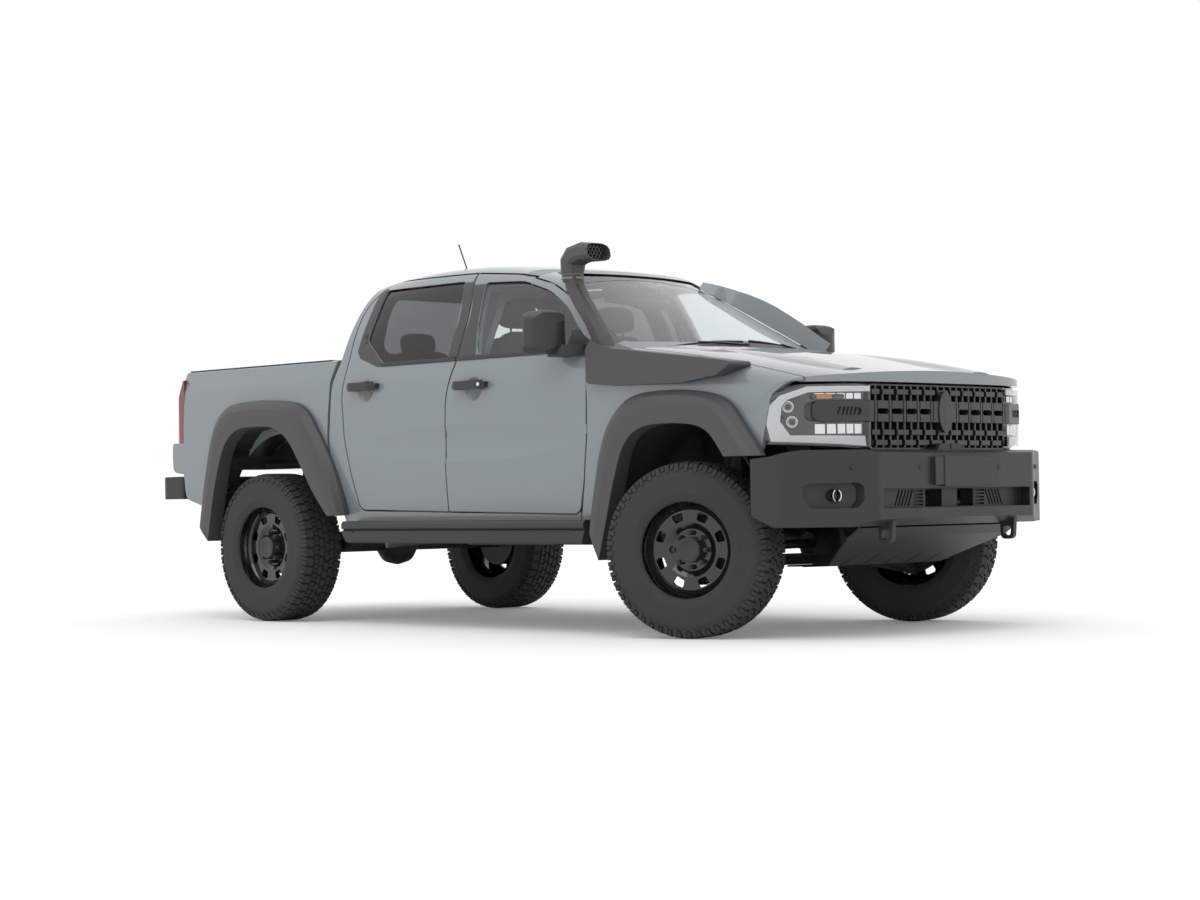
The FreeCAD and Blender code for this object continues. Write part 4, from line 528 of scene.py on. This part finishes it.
# Front posts: the door frame sweeps down along the screen, and behind it runs the painted windscreen post.
# Both are pressed steel in body colour; the post's inner flank carries the screen.
frame_edge = [(0.400, 1.825), (0.500, 1.7985), (0.601, 1.771), (0.710, 1.7235), (0.815, 1.670),
              (0.912, 1.597), (1.006, 1.5245), (1.084, 1.4635)]
glass_edge = [(0.392, 1.797), (0.490, 1.770), (0.612, 1.7305), (0.714, 1.679), (0.815, 1.618),
              (0.894, 1.554), (0.962, 1.4995), (1.0335, 1.4385)]
post_start = 0.08
under_skin = -2.2
half_seam = 0.004
post_width = 0.036
flank_start = 0.55
screen_radius = 2.6846
screen_head = Vector((0.452, 0, 1.880))
screen_down = Vector((0.8921, 0, -0.4519))
screen_out = Vector((0.4519, 0, 0.8921))


def on_screen(y, t, h):
    """Across, down the slope from the roof edge, and out from the outer surface of the screen."""
    sag = screen_radius - math.sqrt(screen_radius ** 2 - y * y)
    return screen_head + Vector((0, y, 0)) + screen_down * t + screen_out * (h - sag)


def along_edge(line, share):
    """A point of a polyline at a share of its corners, smoothed between them."""
    spot = share * (len(line) - 1)
    i = min(int(spot), len(line) - 2)
    t = spot - i
    p0, p1, p2, p3 = (Vector(line[max(i - 1, 0)]), Vector(line[i]), Vector(line[i + 1]),
                      Vector(line[min(i + 2, len(line) - 1)]))
    return p1 + 0.5 * t * (p2 - p0 + t * (2 * p0 - 5 * p1 + 4 * p2 - p3 + t * (3 * (p1 - p2) + p3 - p0)))


def door_frame(u, v):
    """The door's painted frame, from the pane to the seam, just under the skin."""
    share = post_start + (1 - post_start) * v
    edge, glass = along_edge(frame_edge, share), along_edge(glass_edge, share)
    spot = glass + (edge - glass) * (0.02 + 0.89 * u)
    return side_skin(spot.x, spot.y, under_skin)


def screen_post(u, v):
    """The windscreen post: a band beyond the seam, then its flank down to the screen."""
    share = post_start + (1 - post_start) * v
    edge, glass = along_edge(frame_edge, share), along_edge(glass_edge, share)
    out = (edge - glass).normalized()
    spot = edge + out * (half_seam + post_width * min(u / flank_start, 1))
    rim = side_skin(spot.x, spot.y, under_skin)
    if u < flank_start:
        return rim
    foot = on_screen(rim.y + 0.035, (rim.x - screen_head.x) / screen_down.x + 0.030, -0.004)
    return rim + (foot - rim) * (u - flank_start) / (1 - flank_start)


both_sides(sheet_over("door_frame", 4, 40, 2.0, door_frame), body_paint, "front_door_right",
           "front_door_left", 50)
both_sides(sheet_over("screen_post", 20, 40, 2.0, screen_post), body_paint, "chassis",
           "chassis", 40)


# Door mirrors: moulded housings on short arms under the window corner, each with a silvered glass
# that sits in a deep frame.
silvered = finish("silvered", (0.75, 0.77, 0.78), 0.03, metallic=1.0)
glass_plate = plate("mirror_glass", [(-1.098, 1.440), (-0.975, 1.430), (-0.968, 1.570), (-1.092, 1.560)],
                    "x", 0.8035, 0.8062, 0.0008)
both_sides(glass_plate, silvered, "front_door_right", "front_door_left")


# Door lock: a bright key cylinder in the end of the driver's door handle, turned from bar
# and held from behind.
lock = turned("lock", [(0.0, 0.0), (0.010, 0.0), (0.010, 0.004), (0.008, 0.0055), (0.0, 0.0055)], 20,
              (0.325, -0.9795, 1.262), (0, -1, 0))
fitted(lock, silvered, "front_door_right")


# Windscreen: bonded pane with a black ceramic band round its edge. Wiper arms park along its foot,
# in front of a moulded black cowl that drains the scuttle.
across = [-0.7 + 0.1 * i for i in range(15)]
ceramic = finish("ceramic", (0.012, 0.012, 0.013), 0.12, coat=0.5)
band_low = -0.0079
band_high = -0.0071
band_outlines = [[(-0.60, 0.055), (0.60, 0.055), (0.63, 0.115), (-0.63, 0.115)],
                 [(-0.79, 0.905), (0.79, 0.905), (0.79, 0.972), (-0.79, 0.972)]]
bands = [laid("band", outline, band_low, band_high, across, on_screen) for outline in band_outlines]
for side in (1, -1):
    bands.append(laid("band", [(side * 0.552, 0.06), (side * 0.592, 0.06), (side * 0.775, 0.96),
                               (side * 0.725, 0.96)], band_low, band_high, [side * 0.6, side * 0.7],
                      on_screen))
frit = joined("windscreen_band", bands)
fitted(frit, ceramic, "chassis", 20)
cowl = laid("cowl", [(-0.74, 0.962), (0.74, 0.962), (0.76, 1.004), (-0.76, 1.004)], 0.0005, 0.004, across,
            on_screen)
fitted(cowl, trim_black, "chassis", 20)
wiper_parts = []
for start, end, pivot in ((-0.61, -0.03, -0.05), (0.03, 0.57, 0.50)):
    lift = [start + (end - start) * i / 6 for i in range(1, 6)]
    wiper_parts.append(laid("blade", [(start, 0.925), (end, 0.940), (end, 0.948), (start, 0.933)], -0.007,
                            0.006, lift, on_screen))
    wiper_parts.append(laid("arm", [(0.5 * (start + end) - 0.02, 0.930), (pivot, 0.985), (pivot, 1.003),
                                    (0.5 * (start + end) - 0.02, 0.938)], 0.005, 0.011, lift, on_screen))
    wiper_parts.append(turned("pivot", [(0.0, -0.002), (0.014, -0.002), (0.014, 0.013), (0.010, 0.016),
                                        (0.0, 0.016)], 20, on_screen(pivot, 0.994, 0), screen_out))
fitted(joined("wipers", wiper_parts), trim_black, "chassis")


# Rear-view mirror and sun sensor: moulded housings behind the screen. The sensor's foot is bonded to
# the inside of the glass.
inner_mirror = plate("inner_mirror", [(-0.13, 1.665), (0.13, 1.665), (0.135, 1.72), (-0.135, 1.72)], "x",
                     0.600, 0.622, 0.006)
fitted(inner_mirror, trim_black, "chassis")
sensor_foot = laid("sensor_foot", [(-0.06, 0.115), (0.06, 0.115), (0.04, 0.215), (-0.04, 0.215)], -0.055,
                   -0.0135, [0.0], on_screen)
fitted(sensor_foot, trim_black, "chassis")


# Headlamps: dark bowl with projector modules and a thick white light guide round the outside,
# under a clear moulded lens that follows the corner of the nose.
nose_plan = [(0, 0), (0.26, 0.006), (0.53, 0.024), (0.662, 0.064), (0.72, 0.106), (0.778, 0.156),
             (0.87, 0.256), (0.925, 0.36)]
nose_tip = 2.556
projectors = ((-0.848, 1.074), (-0.836, 1.004))


def on_nose(y, z, w):
    """Across, up, and out from the upright wall of the nose."""
    reach = min(abs(y), 0.9249)
    i = max(k for k in range(len(nose_plan) - 1) if nose_plan[k][0] <= reach)
    share = (reach - nose_plan[i][0]) / (nose_plan[i + 1][0] - nose_plan[i][0])
    back = nose_plan[i][1] + share * (nose_plan[i + 1][1] - nose_plan[i][1])
    slopes = []
    for k in (i, i + 1):
        y0, x0 = nose_plan[max(k - 1, 0)]
        y1, x1 = nose_plan[min(k + 1, len(nose_plan) - 1)]
        slopes.append(math.atan2(x1 - x0, y1 - y0))
    turn = slopes[0] + share * (slopes[1] - slopes[0])
    return Vector((nose_tip - back + w * math.cos(turn), math.copysign(reach + w * math.sin(turn), y), z))


bends = [-p for p, _ in nose_plan[1:]] + [-0.6, -0.69, -0.75, -0.82, -0.85, -0.895]
lamp_bowl = finish("lamp_bowl", (0.03, 0.031, 0.033), 0.18, coat=0.6)
dress(lamp_bowl, "lamp_clear", "headlamps")
lamp_white = finish("lamp_white", (0.86, 0.88, 0.9), 0.2, coat=0.5)
guide = laid("light_guide", [(-0.516, 1.167), (-0.788, 1.165), (-0.872, 1.125), (-0.896, 1.080),
                             (-0.903, 1.000), (-0.893, 0.915), (-0.541, 0.890), (-0.548, 0.936),
                             (-0.842, 0.942), (-0.872, 1.005), (-0.868, 1.075), (-0.850, 1.105),
                             (-0.785, 1.138), (-0.516, 1.142)], -0.004, -0.0005, bends, on_nose)
both_sides(guide, lamp_white, "chassis", "chassis", 25)
modules = []
for y, z in projectors:
    base = on_nose(y, z, -0.011)
    ahead = (on_nose(y, z, 0.01) - base).normalized()
    modules.append(turned("module", [(0.0, -0.002), (0.026, -0.002), (0.026, 0.005), (0.022, 0.006),
                                     (0.018, 0.002), (0.0, 0.001)], 32, base, ahead))
for z0, z1 in ((0.948, 0.992), (1.108, 1.134)):
    for i in range(5):
        y = -0.555 - 0.043 * i
        modules.append(laid("crystal", [(y, z0), (y - 0.036, z0), (y - 0.036, z1), (y, z1)], -0.029, -0.016,
                            bends, on_nose))
both_sides(joined("lamp_modules", modules), silvered, "chassis", "chassis")
balls = [turned("ball", [(0.0, 0.0015), (0.0165, 0.0015), (0.0150, 0.005), (0.009, 0.0075), (0.0, 0.0085)],
                32, on_nose(y, z, -0.011), (on_nose(y, z, 0.01) - on_nose(y, z, -0.011)).normalized())
         for y, z in projectors]
both_sides(joined("projector_glass", balls), ceramic, "chassis", "chassis", 60)
amber = finish("amber", (0.75, 0.23, 0.02), 0.2, coat=0.8)
marker = laid("marker", [(-0.700, 1.108), (-0.756, 1.108), (-0.756, 1.128), (-0.700, 1.128)], -0.0135,
              -0.008, bends, on_nose)
both_sides(marker, amber, "chassis", "chassis")
lens_clear = pane("lens_clear", (0.97, 0.98, 0.98), 1.0, 0.01)
lens = laid("lamp_lens", [(-0.516, 1.175), (-0.516, 1.103), (-0.745, 1.103), (-0.772, 1.092),
                          (-0.779, 1.075), (-0.779, 1.027), (-0.772, 1.010), (-0.745, 0.999),
                          (-0.516, 0.999), (-0.516, 0.884), (-0.896, 0.906), (-0.909, 1.000),
                          (-0.898, 1.120), (-0.860, 1.150), (-0.790, 1.174)], 0.0, 0.0025, bends, on_nose)
both_sides(lens, lens_clear, "chassis", "chassis", 25)


# Tail lamps: moulded lens stacks let into the bed corners, rose over white over red. A painted plate
# closes each lamp's flank towards the tailgate.
red_lens = finish("red_lens", (0.16, 0.006, 0.008), 0.15, coat=1.0)
dress(red_lens, "lamp_red", "tail_lamps")
rose_lens = finish("rose_lens", (0.60, 0.16, 0.15), 0.15, coat=1.0)
flank = plate("lamp_flank", [(-2.386, 1.4015), (-2.3945, 1.4015), (-2.4485, 1.290), (-2.5135, 1.060),
                             (-2.5135, 1.0315), (-2.386, 1.0315)], "y", -0.7072, -0.7052, 0.0004)
both_sides(flank, body_paint, "chassis", "chassis")
lamp_back = [(1.03, -2.515), (1.06, -2.515), (1.29, -2.452), (1.402, -2.398)]


def on_tail(u, v, w):
    """Round the lamp's corner: across, up, and out from its rear face."""
    for (z0, x0), (z1, x1) in zip(lamp_back[:-1], lamp_back[1:]):
        if z0 <= v <= z1:
            return Vector((x0 + (x1 - x0) * (v - z0) / (z1 - z0) - w, u, v))
    return Vector((lamp_back[0][1] - w, u, v))


for name, z0, z1, colour in (("tail_rose", 1.265, 1.388, rose_lens),
                             ("tail_white", 1.165, 1.258, lamp_white)):
    patch = laid(name, [(-0.712, z0), (-0.855, z0), (-0.855, z1), (-0.712, z1)], 0.0, 0.0035, [-0.78],
                 on_tail)
    both_sides(patch, colour, "chassis", "chassis")


# Grille: interlaced bars moulded in black, in front of a black baffle.
# Front bumper, skid plate and rear bumper: folded steel with a textured charcoal powder coat.
grille_plastic = finish("grille_plastic", (0.02, 0.02, 0.021), 0.28, coat=0.3, edge=0.003)
dress(grille_plastic, "grille_black", "grille")
bumper_coat = finish("bumper_coat", (0.022, 0.0225, 0.0235), 0.38, grain=0.35, size=1100, edge=0.004)
dress(bumper_coat, "bumper_steel", "front_bumper", "rear_bumper")
skid_coat = finish("skid_coat", (0.010, 0.010, 0.011), 0.35, grain=0.3, size=700, blotch=0.1)
dress(skid_coat, "bumper_steel", "skid_plate")
fog_place = (2.506, -0.735, 0.664)
fog_lens = turned("fog_lens", [(0.0, 0.0), (0.024, 0.0), (0.024, 0.004), (0.020, 0.006), (0.0, 0.008)], 32,
                  fog_place, (1, 0, 0))
both_sides(fog_lens, lens_clear, "chassis", "chassis", 50)
fog_ring = turned("fog_ring", [(0.0245, -0.004), (0.031, -0.004), (0.031, 0.008), (0.0285, 0.0105),
                               (0.0245, 0.008)], 32, fog_place, (1, 0, 0))
both_sides(fog_ring, silvered, "chassis", "chassis")


# Bed: extruded caps clipped over the side walls and the tailgate, so that cargo doesn't mark the paint,
# and rubber pads on the rear bumper's steps.
cap_foot = 1.4515
cap_top = 1.4575
cap = plate("bed_cap", [(-2.385, -0.878), (-1.03, -0.878), (-1.03, -0.808), (-2.385, -0.808)], "z",
            cap_foot, cap_top, 0.002)
both_sides(cap, flare_plastic, "chassis", "chassis")
gate_cap = plate("gate_cap", [(-2.402, -0.69), (-2.346, -0.69), (-2.346, 0.69), (-2.402, 0.69)], "z",
                 cap_foot, cap_top, 0.002)
fitted(gate_cap, flare_plastic, "tailgate")
step_pads = [plate("pad", [(-2.63, y - 0.13), (-2.46, y - 0.13), (-2.46, y + 0.13), (-2.63, y + 0.13)], "z",
                   0.8315, 0.8345, 0.001) for y in (-0.72, 0.72)]
fitted(joined("bumper_pads", step_pads), trim_black, "chassis")


# Rear wheel houses: the lining pressed into the arch under the bed, coated black against stones.
# It is the bed's own metal over the tyre, so the coat lies on the faces that look down at the wheel.
rear_axle_x = -1.554


def over_wheel(centre, normal):
    """True on bed faces that look towards the rear wheel."""
    down = Vector((rear_axle_x, math.copysign(0.80, centre.y), 0.50)) - centre
    near = 0.45 < abs(centre.y) < 0.925 and -2.13 < centre.x < -0.98 and 0.55 < centre.z < 1.13
    return near and normal.dot(down.normalized()) > 0.25


fitted(cover("rear_wheel_lining", "load_bed", [], 0.001, over_wheel), skid_coat, "chassis")


# Snorkel: the head turns on a neck ring held by a worm clamp of stainless band. A welded wire grid in a
# diamond pattern keeps leaves out of the mouth.
neck = (0.888, -0.834, 0.0)
wire_half = 0.0012
wire_step = 0.024
wire_lean = 0.7
mouth_y = -0.846
mouth_z = 1.885
clamp_parts = []
for outer, foot, top in ((0.0555, 1.762, 1.774), (0.0545, 1.786, 1.790)):
    clamp_parts.append(turned("clamp", [(0.0505, foot), (outer, foot), (outer, top), (0.0505, top)], 40,
                              neck, (0, 0, 1)))
clamp_parts.append(plate("screw", [(0.93, -0.86), (0.95, -0.86), (0.95, -0.82), (0.93, -0.82)], "z", 1.761,
                         1.775, 0.002))
fitted(joined("snorkel_clamp", clamp_parts), exhaust_steel, "chassis")
bars = []
for turn in (1, -1):
    for i in range(-7, 8):
        middle = mouth_y + i * wire_step
        (y0, z0), (y1, z1) = [(middle + turn * (z - mouth_z) * wire_lean, z) for z in (1.848, 1.922)]
        if min(y0, y1) > -0.920 and max(y0, y1) < -0.772:
            bars.append(plate("wire", [(y0 - wire_half, z0), (y0 + wire_half, z0), (y1 + wire_half, z1),
                                       (y1 - wire_half, z1)], "x", 1.055 + 0.001 * turn,
                              1.058 + 0.001 * turn))
fitted(joined("snorkel_grid", bars), exhaust_steel, "chassis")


# Cabin lining: moulded headliner, post and rear-wall trims pressed on to the cab shell, and a padded card
# clipped to the inside of each door.
lining_grey = finish("lining_grey", (0.085, 0.086, 0.088), 0.8, grain=0.3, size=500, blotch=0.05)


def facing_in(centre, normal):
    """True on the walls that look towards the middle of the cabin."""
    inwards = Vector((0.1, 0.0, 1.35)) - centre
    return (normal.dot(inwards.normalized()) > 0.3 and abs(centre.y) < 0.84 and -0.95 < centre.x < 1.16
            and centre.z > 0.69)


def card_side(centre, normal):
    """True on the inner face of a door."""
    return normal.y * centre.y < -0.35 * abs(centre.y) and abs(centre.y) < 0.88


fitted(cover("cabin_lining", "cab_shell", [], 0.0015, facing_in), lining_grey, "chassis")
for side in ("right", "left"):
    for part in ("front_door_", "rear_door_"):
        card = cover("card_%s%s" % (part, side), part + side, [], 0.002, card_side)
        fitted(card, lining_grey, part + side)


# Seats: foam pads under woven cloth on a moulded plinth, each with a bolster at both sides and a headrest
# on two stalks. The bench behind has three places.
def cushion(centre, half, tilt, power=5.0):
    """A crowned pad whose sides pull in between its corners, leaning back by tilt degrees."""
    bpy.ops.object.select_all(action="DESELECT")
    bpy.ops.mesh.primitive_cube_add(size=2)
    pad = bpy.context.object
    bpy.ops.object.mode_set(mode="EDIT")
    bpy.ops.mesh.subdivide(number_cuts=9)
    bpy.ops.object.mode_set(mode="OBJECT")
    for vertex in pad.data.vertices:
        far = max(abs(c) for c in vertex.co)
        total = sum(abs(c) ** power for c in vertex.co) ** (1 / power)
        pull = 1 - 0.05 * (1 - abs(vertex.co.x)) * abs(vertex.co.y) ** 4
        spot = vertex.co * (far / total)
        vertex.co = Vector((spot.x * half[0], spot.y * half[1] * pull, spot.z * half[2]))
    pad.data.transform(Matrix.Translation(centre) @ Matrix.Rotation(math.radians(-tilt), 4, "Y"))
    return pad


seat_cloth = finish("seat_cloth", (0.055, 0.055, 0.058), 0.85, grain=0.5, size=600)
seat_side = finish("seat_side", (0.03, 0.03, 0.032), 0.7, grain=0.4, size=800)
seat_y = 0.37
for side, y in (("right", -seat_y), ("left", seat_y)):
    pads = [cushion((0.395, y, 0.955), (0.245, 0.160, 0.085), -4),
            cushion((0.030, y, 1.265), (0.065, 0.155, 0.305), 9.3),
            cushion((-0.045, y, 1.662), (0.050, 0.128, 0.072), 9.3, 3.5)]
    bolsters = [cushion((0.385, y + w, 0.965), (0.240, 0.052, 0.095), -4, 4.0) for w in (-0.198, 0.198)]
    bolsters += [cushion((0.045, y + w, 1.240), (0.085, 0.050, 0.290), 9.3, 4.0) for w in (-0.188, 0.188)]
    middle = joined("seat_pads_" + side, pads)
    fitted(middle, seat_cloth, "chassis", 60)
    wings = joined("seat_bolsters_" + side, bolsters)
    fitted(wings, seat_side, "chassis", 60)
bench = []
rest = []
for y in (-0.425, 0.0, 0.425):
    bench.append(cushion((-0.555, y, 0.905), (0.235, 0.210, 0.080), -3))
    rest.append(cushion((-0.765, y, 1.235), (0.055, 0.210, 0.270), 5.5))
    rest.append(cushion((-0.815, y, 1.545), (0.042, 0.115, 0.058), 5.5, 3.5))
bench = joined("bench_pads", bench)
fitted(bench, seat_cloth, "chassis", 60)
rest = joined("bench_rests", rest)
fitted(rest, seat_cloth, "chassis", 60)
plinths = [plate("plinth", [(0.16, 0.702), (0.60, 0.702), (0.62, 0.90), (0.15, 0.88)], "y", y - 0.2,
                 y + 0.2, 0.01) for y in (-seat_y, seat_y)]
plinths.append(plate("plinth", [(-0.79, 0.702), (-0.34, 0.702), (-0.33, 0.85), (-0.79, 0.84)], "y", -0.63,
                     0.63, 0.01))
for y in (-seat_y, seat_y):
    for w in (-0.052, 0.052):
        plinths.append(turned("stalk", [(0.0, 1.53), (0.006, 1.53), (0.006, 1.62), (0.0, 1.62)], 12,
                              (-0.036, y + w, 0.0), (0, 0, 1)))
plinth = joined("seat_plinths", plinths)
fitted(plinth, trim_black, "chassis")
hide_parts("seats")


# Dashboard: one soft-grained moulding across the cabin, bolted under the screen, with the steering wheel
# on the driver's side.
dash_plastic = finish("dash_plastic", (0.03, 0.03, 0.032), 0.55, grain=0.3, size=700, edge=0.006)
dress(dash_plastic, "dash_plastic", "dashboard")


# Studio: pale floor and surround, one soft sky and one soft key from above. Only what the camera sees of
# the floor is lifted towards white.
floor_glow = 0.13
sky_level = 0.87
key_level = 0.5
bpy.ops.object.select_all(action="DESELECT")
bpy.ops.mesh.primitive_plane_add(size=160, location=(0, 0, 0))
floor = bpy.context.object
floor.name = "floor"
floor_paint = bpy.data.materials.new("floor_paint")
floor_paint.use_nodes = True
tree = floor_paint.node_tree
matt = tree.nodes["Principled BSDF"]
matt.inputs["Base Color"].default_value = (0.96, 0.96, 0.96, 1)
matt.inputs["Roughness"].default_value = 0.9
glow = tree.nodes.new("ShaderNodeEmission")
glow.inputs["Color"].default_value = (1, 1, 1, 1)
glow.inputs["Strength"].default_value = floor_glow
eye = tree.nodes.new("ShaderNodeLightPath")
seen_part = tree.nodes.new("ShaderNodeMixShader")
added = tree.nodes.new("ShaderNodeAddShader")
tree.links.new(matt.outputs["BSDF"], added.inputs[0])
tree.links.new(glow.outputs["Emission"], added.inputs[1])
tree.links.new(eye.outputs["Is Camera Ray"], seen_part.inputs["Fac"])
tree.links.new(matt.outputs["BSDF"], seen_part.inputs[1])
tree.links.new(added.outputs["Shader"], seen_part.inputs[2])
tree.links.new(seen_part.outputs["Shader"], tree.nodes["Material Output"].inputs["Surface"])
floor.data.materials.append(floor_paint)

world = bpy.data.worlds.new("studio")
world.use_nodes = True
bpy.context.scene.world = world
tree = world.node_tree
sky = tree.nodes["Background"]
sky.inputs["Color"].default_value = (1, 1, 1, 1)
sky.inputs["Strength"].default_value = sky_level
white = tree.nodes.new("ShaderNodeBackground")
white.inputs["Color"].default_value = (1, 1, 1, 1)
white.inputs["Strength"].default_value = 1.0
rays = tree.nodes.new("ShaderNodeLightPath")
seen = tree.nodes.new("ShaderNodeMath")
seen.operation = "MAXIMUM"
seen_too = tree.nodes.new("ShaderNodeMath")
seen_too.operation = "MAXIMUM"
choice = tree.nodes.new("ShaderNodeMixShader")
tree.links.new(rays.outputs["Is Camera Ray"], seen.inputs[0])
tree.links.new(rays.outputs["Is Transmission Ray"], seen.inputs[1])
tree.links.new(seen.outputs["Value"], seen_too.inputs[0])
tree.links.new(rays.outputs["Is Glossy Ray"], seen_too.inputs[1])
tree.links.new(seen_too.outputs["Value"], choice.inputs["Fac"])
tree.links.new(sky.outputs["Background"], choice.inputs[1])
tree.links.new(white.outputs["Background"], choice.inputs[2])
tree.links.new(choice.outputs["Shader"], tree.nodes["World Output"].inputs["Surface"])

bpy.ops.object.light_add(type="SUN", rotation=(math.radians(28), math.radians(18), 0))
key = bpy.context.object
key.name = "key"
key.data.energy = key_level
key.data.angle = math.radians(40)


# Camera: a long lens from the front right corner, low over the ground, with the whole vehicle in a
# wide margin of white.
bpy.ops.object.camera_add(location=(9.8735, -9.3077, 0.6809),
                          rotation=[math.radians(a) for a in (91.0575, 0.9183, 46.1231)])
camera = bpy.context.object
camera.data.lens = 74.205
camera.data.sensor_width = 36
camera.data.sensor_fit = "HORIZONTAL"
bpy.context.scene.camera = camera
bpy.context.scene.view_settings.view_transform = "Standard"
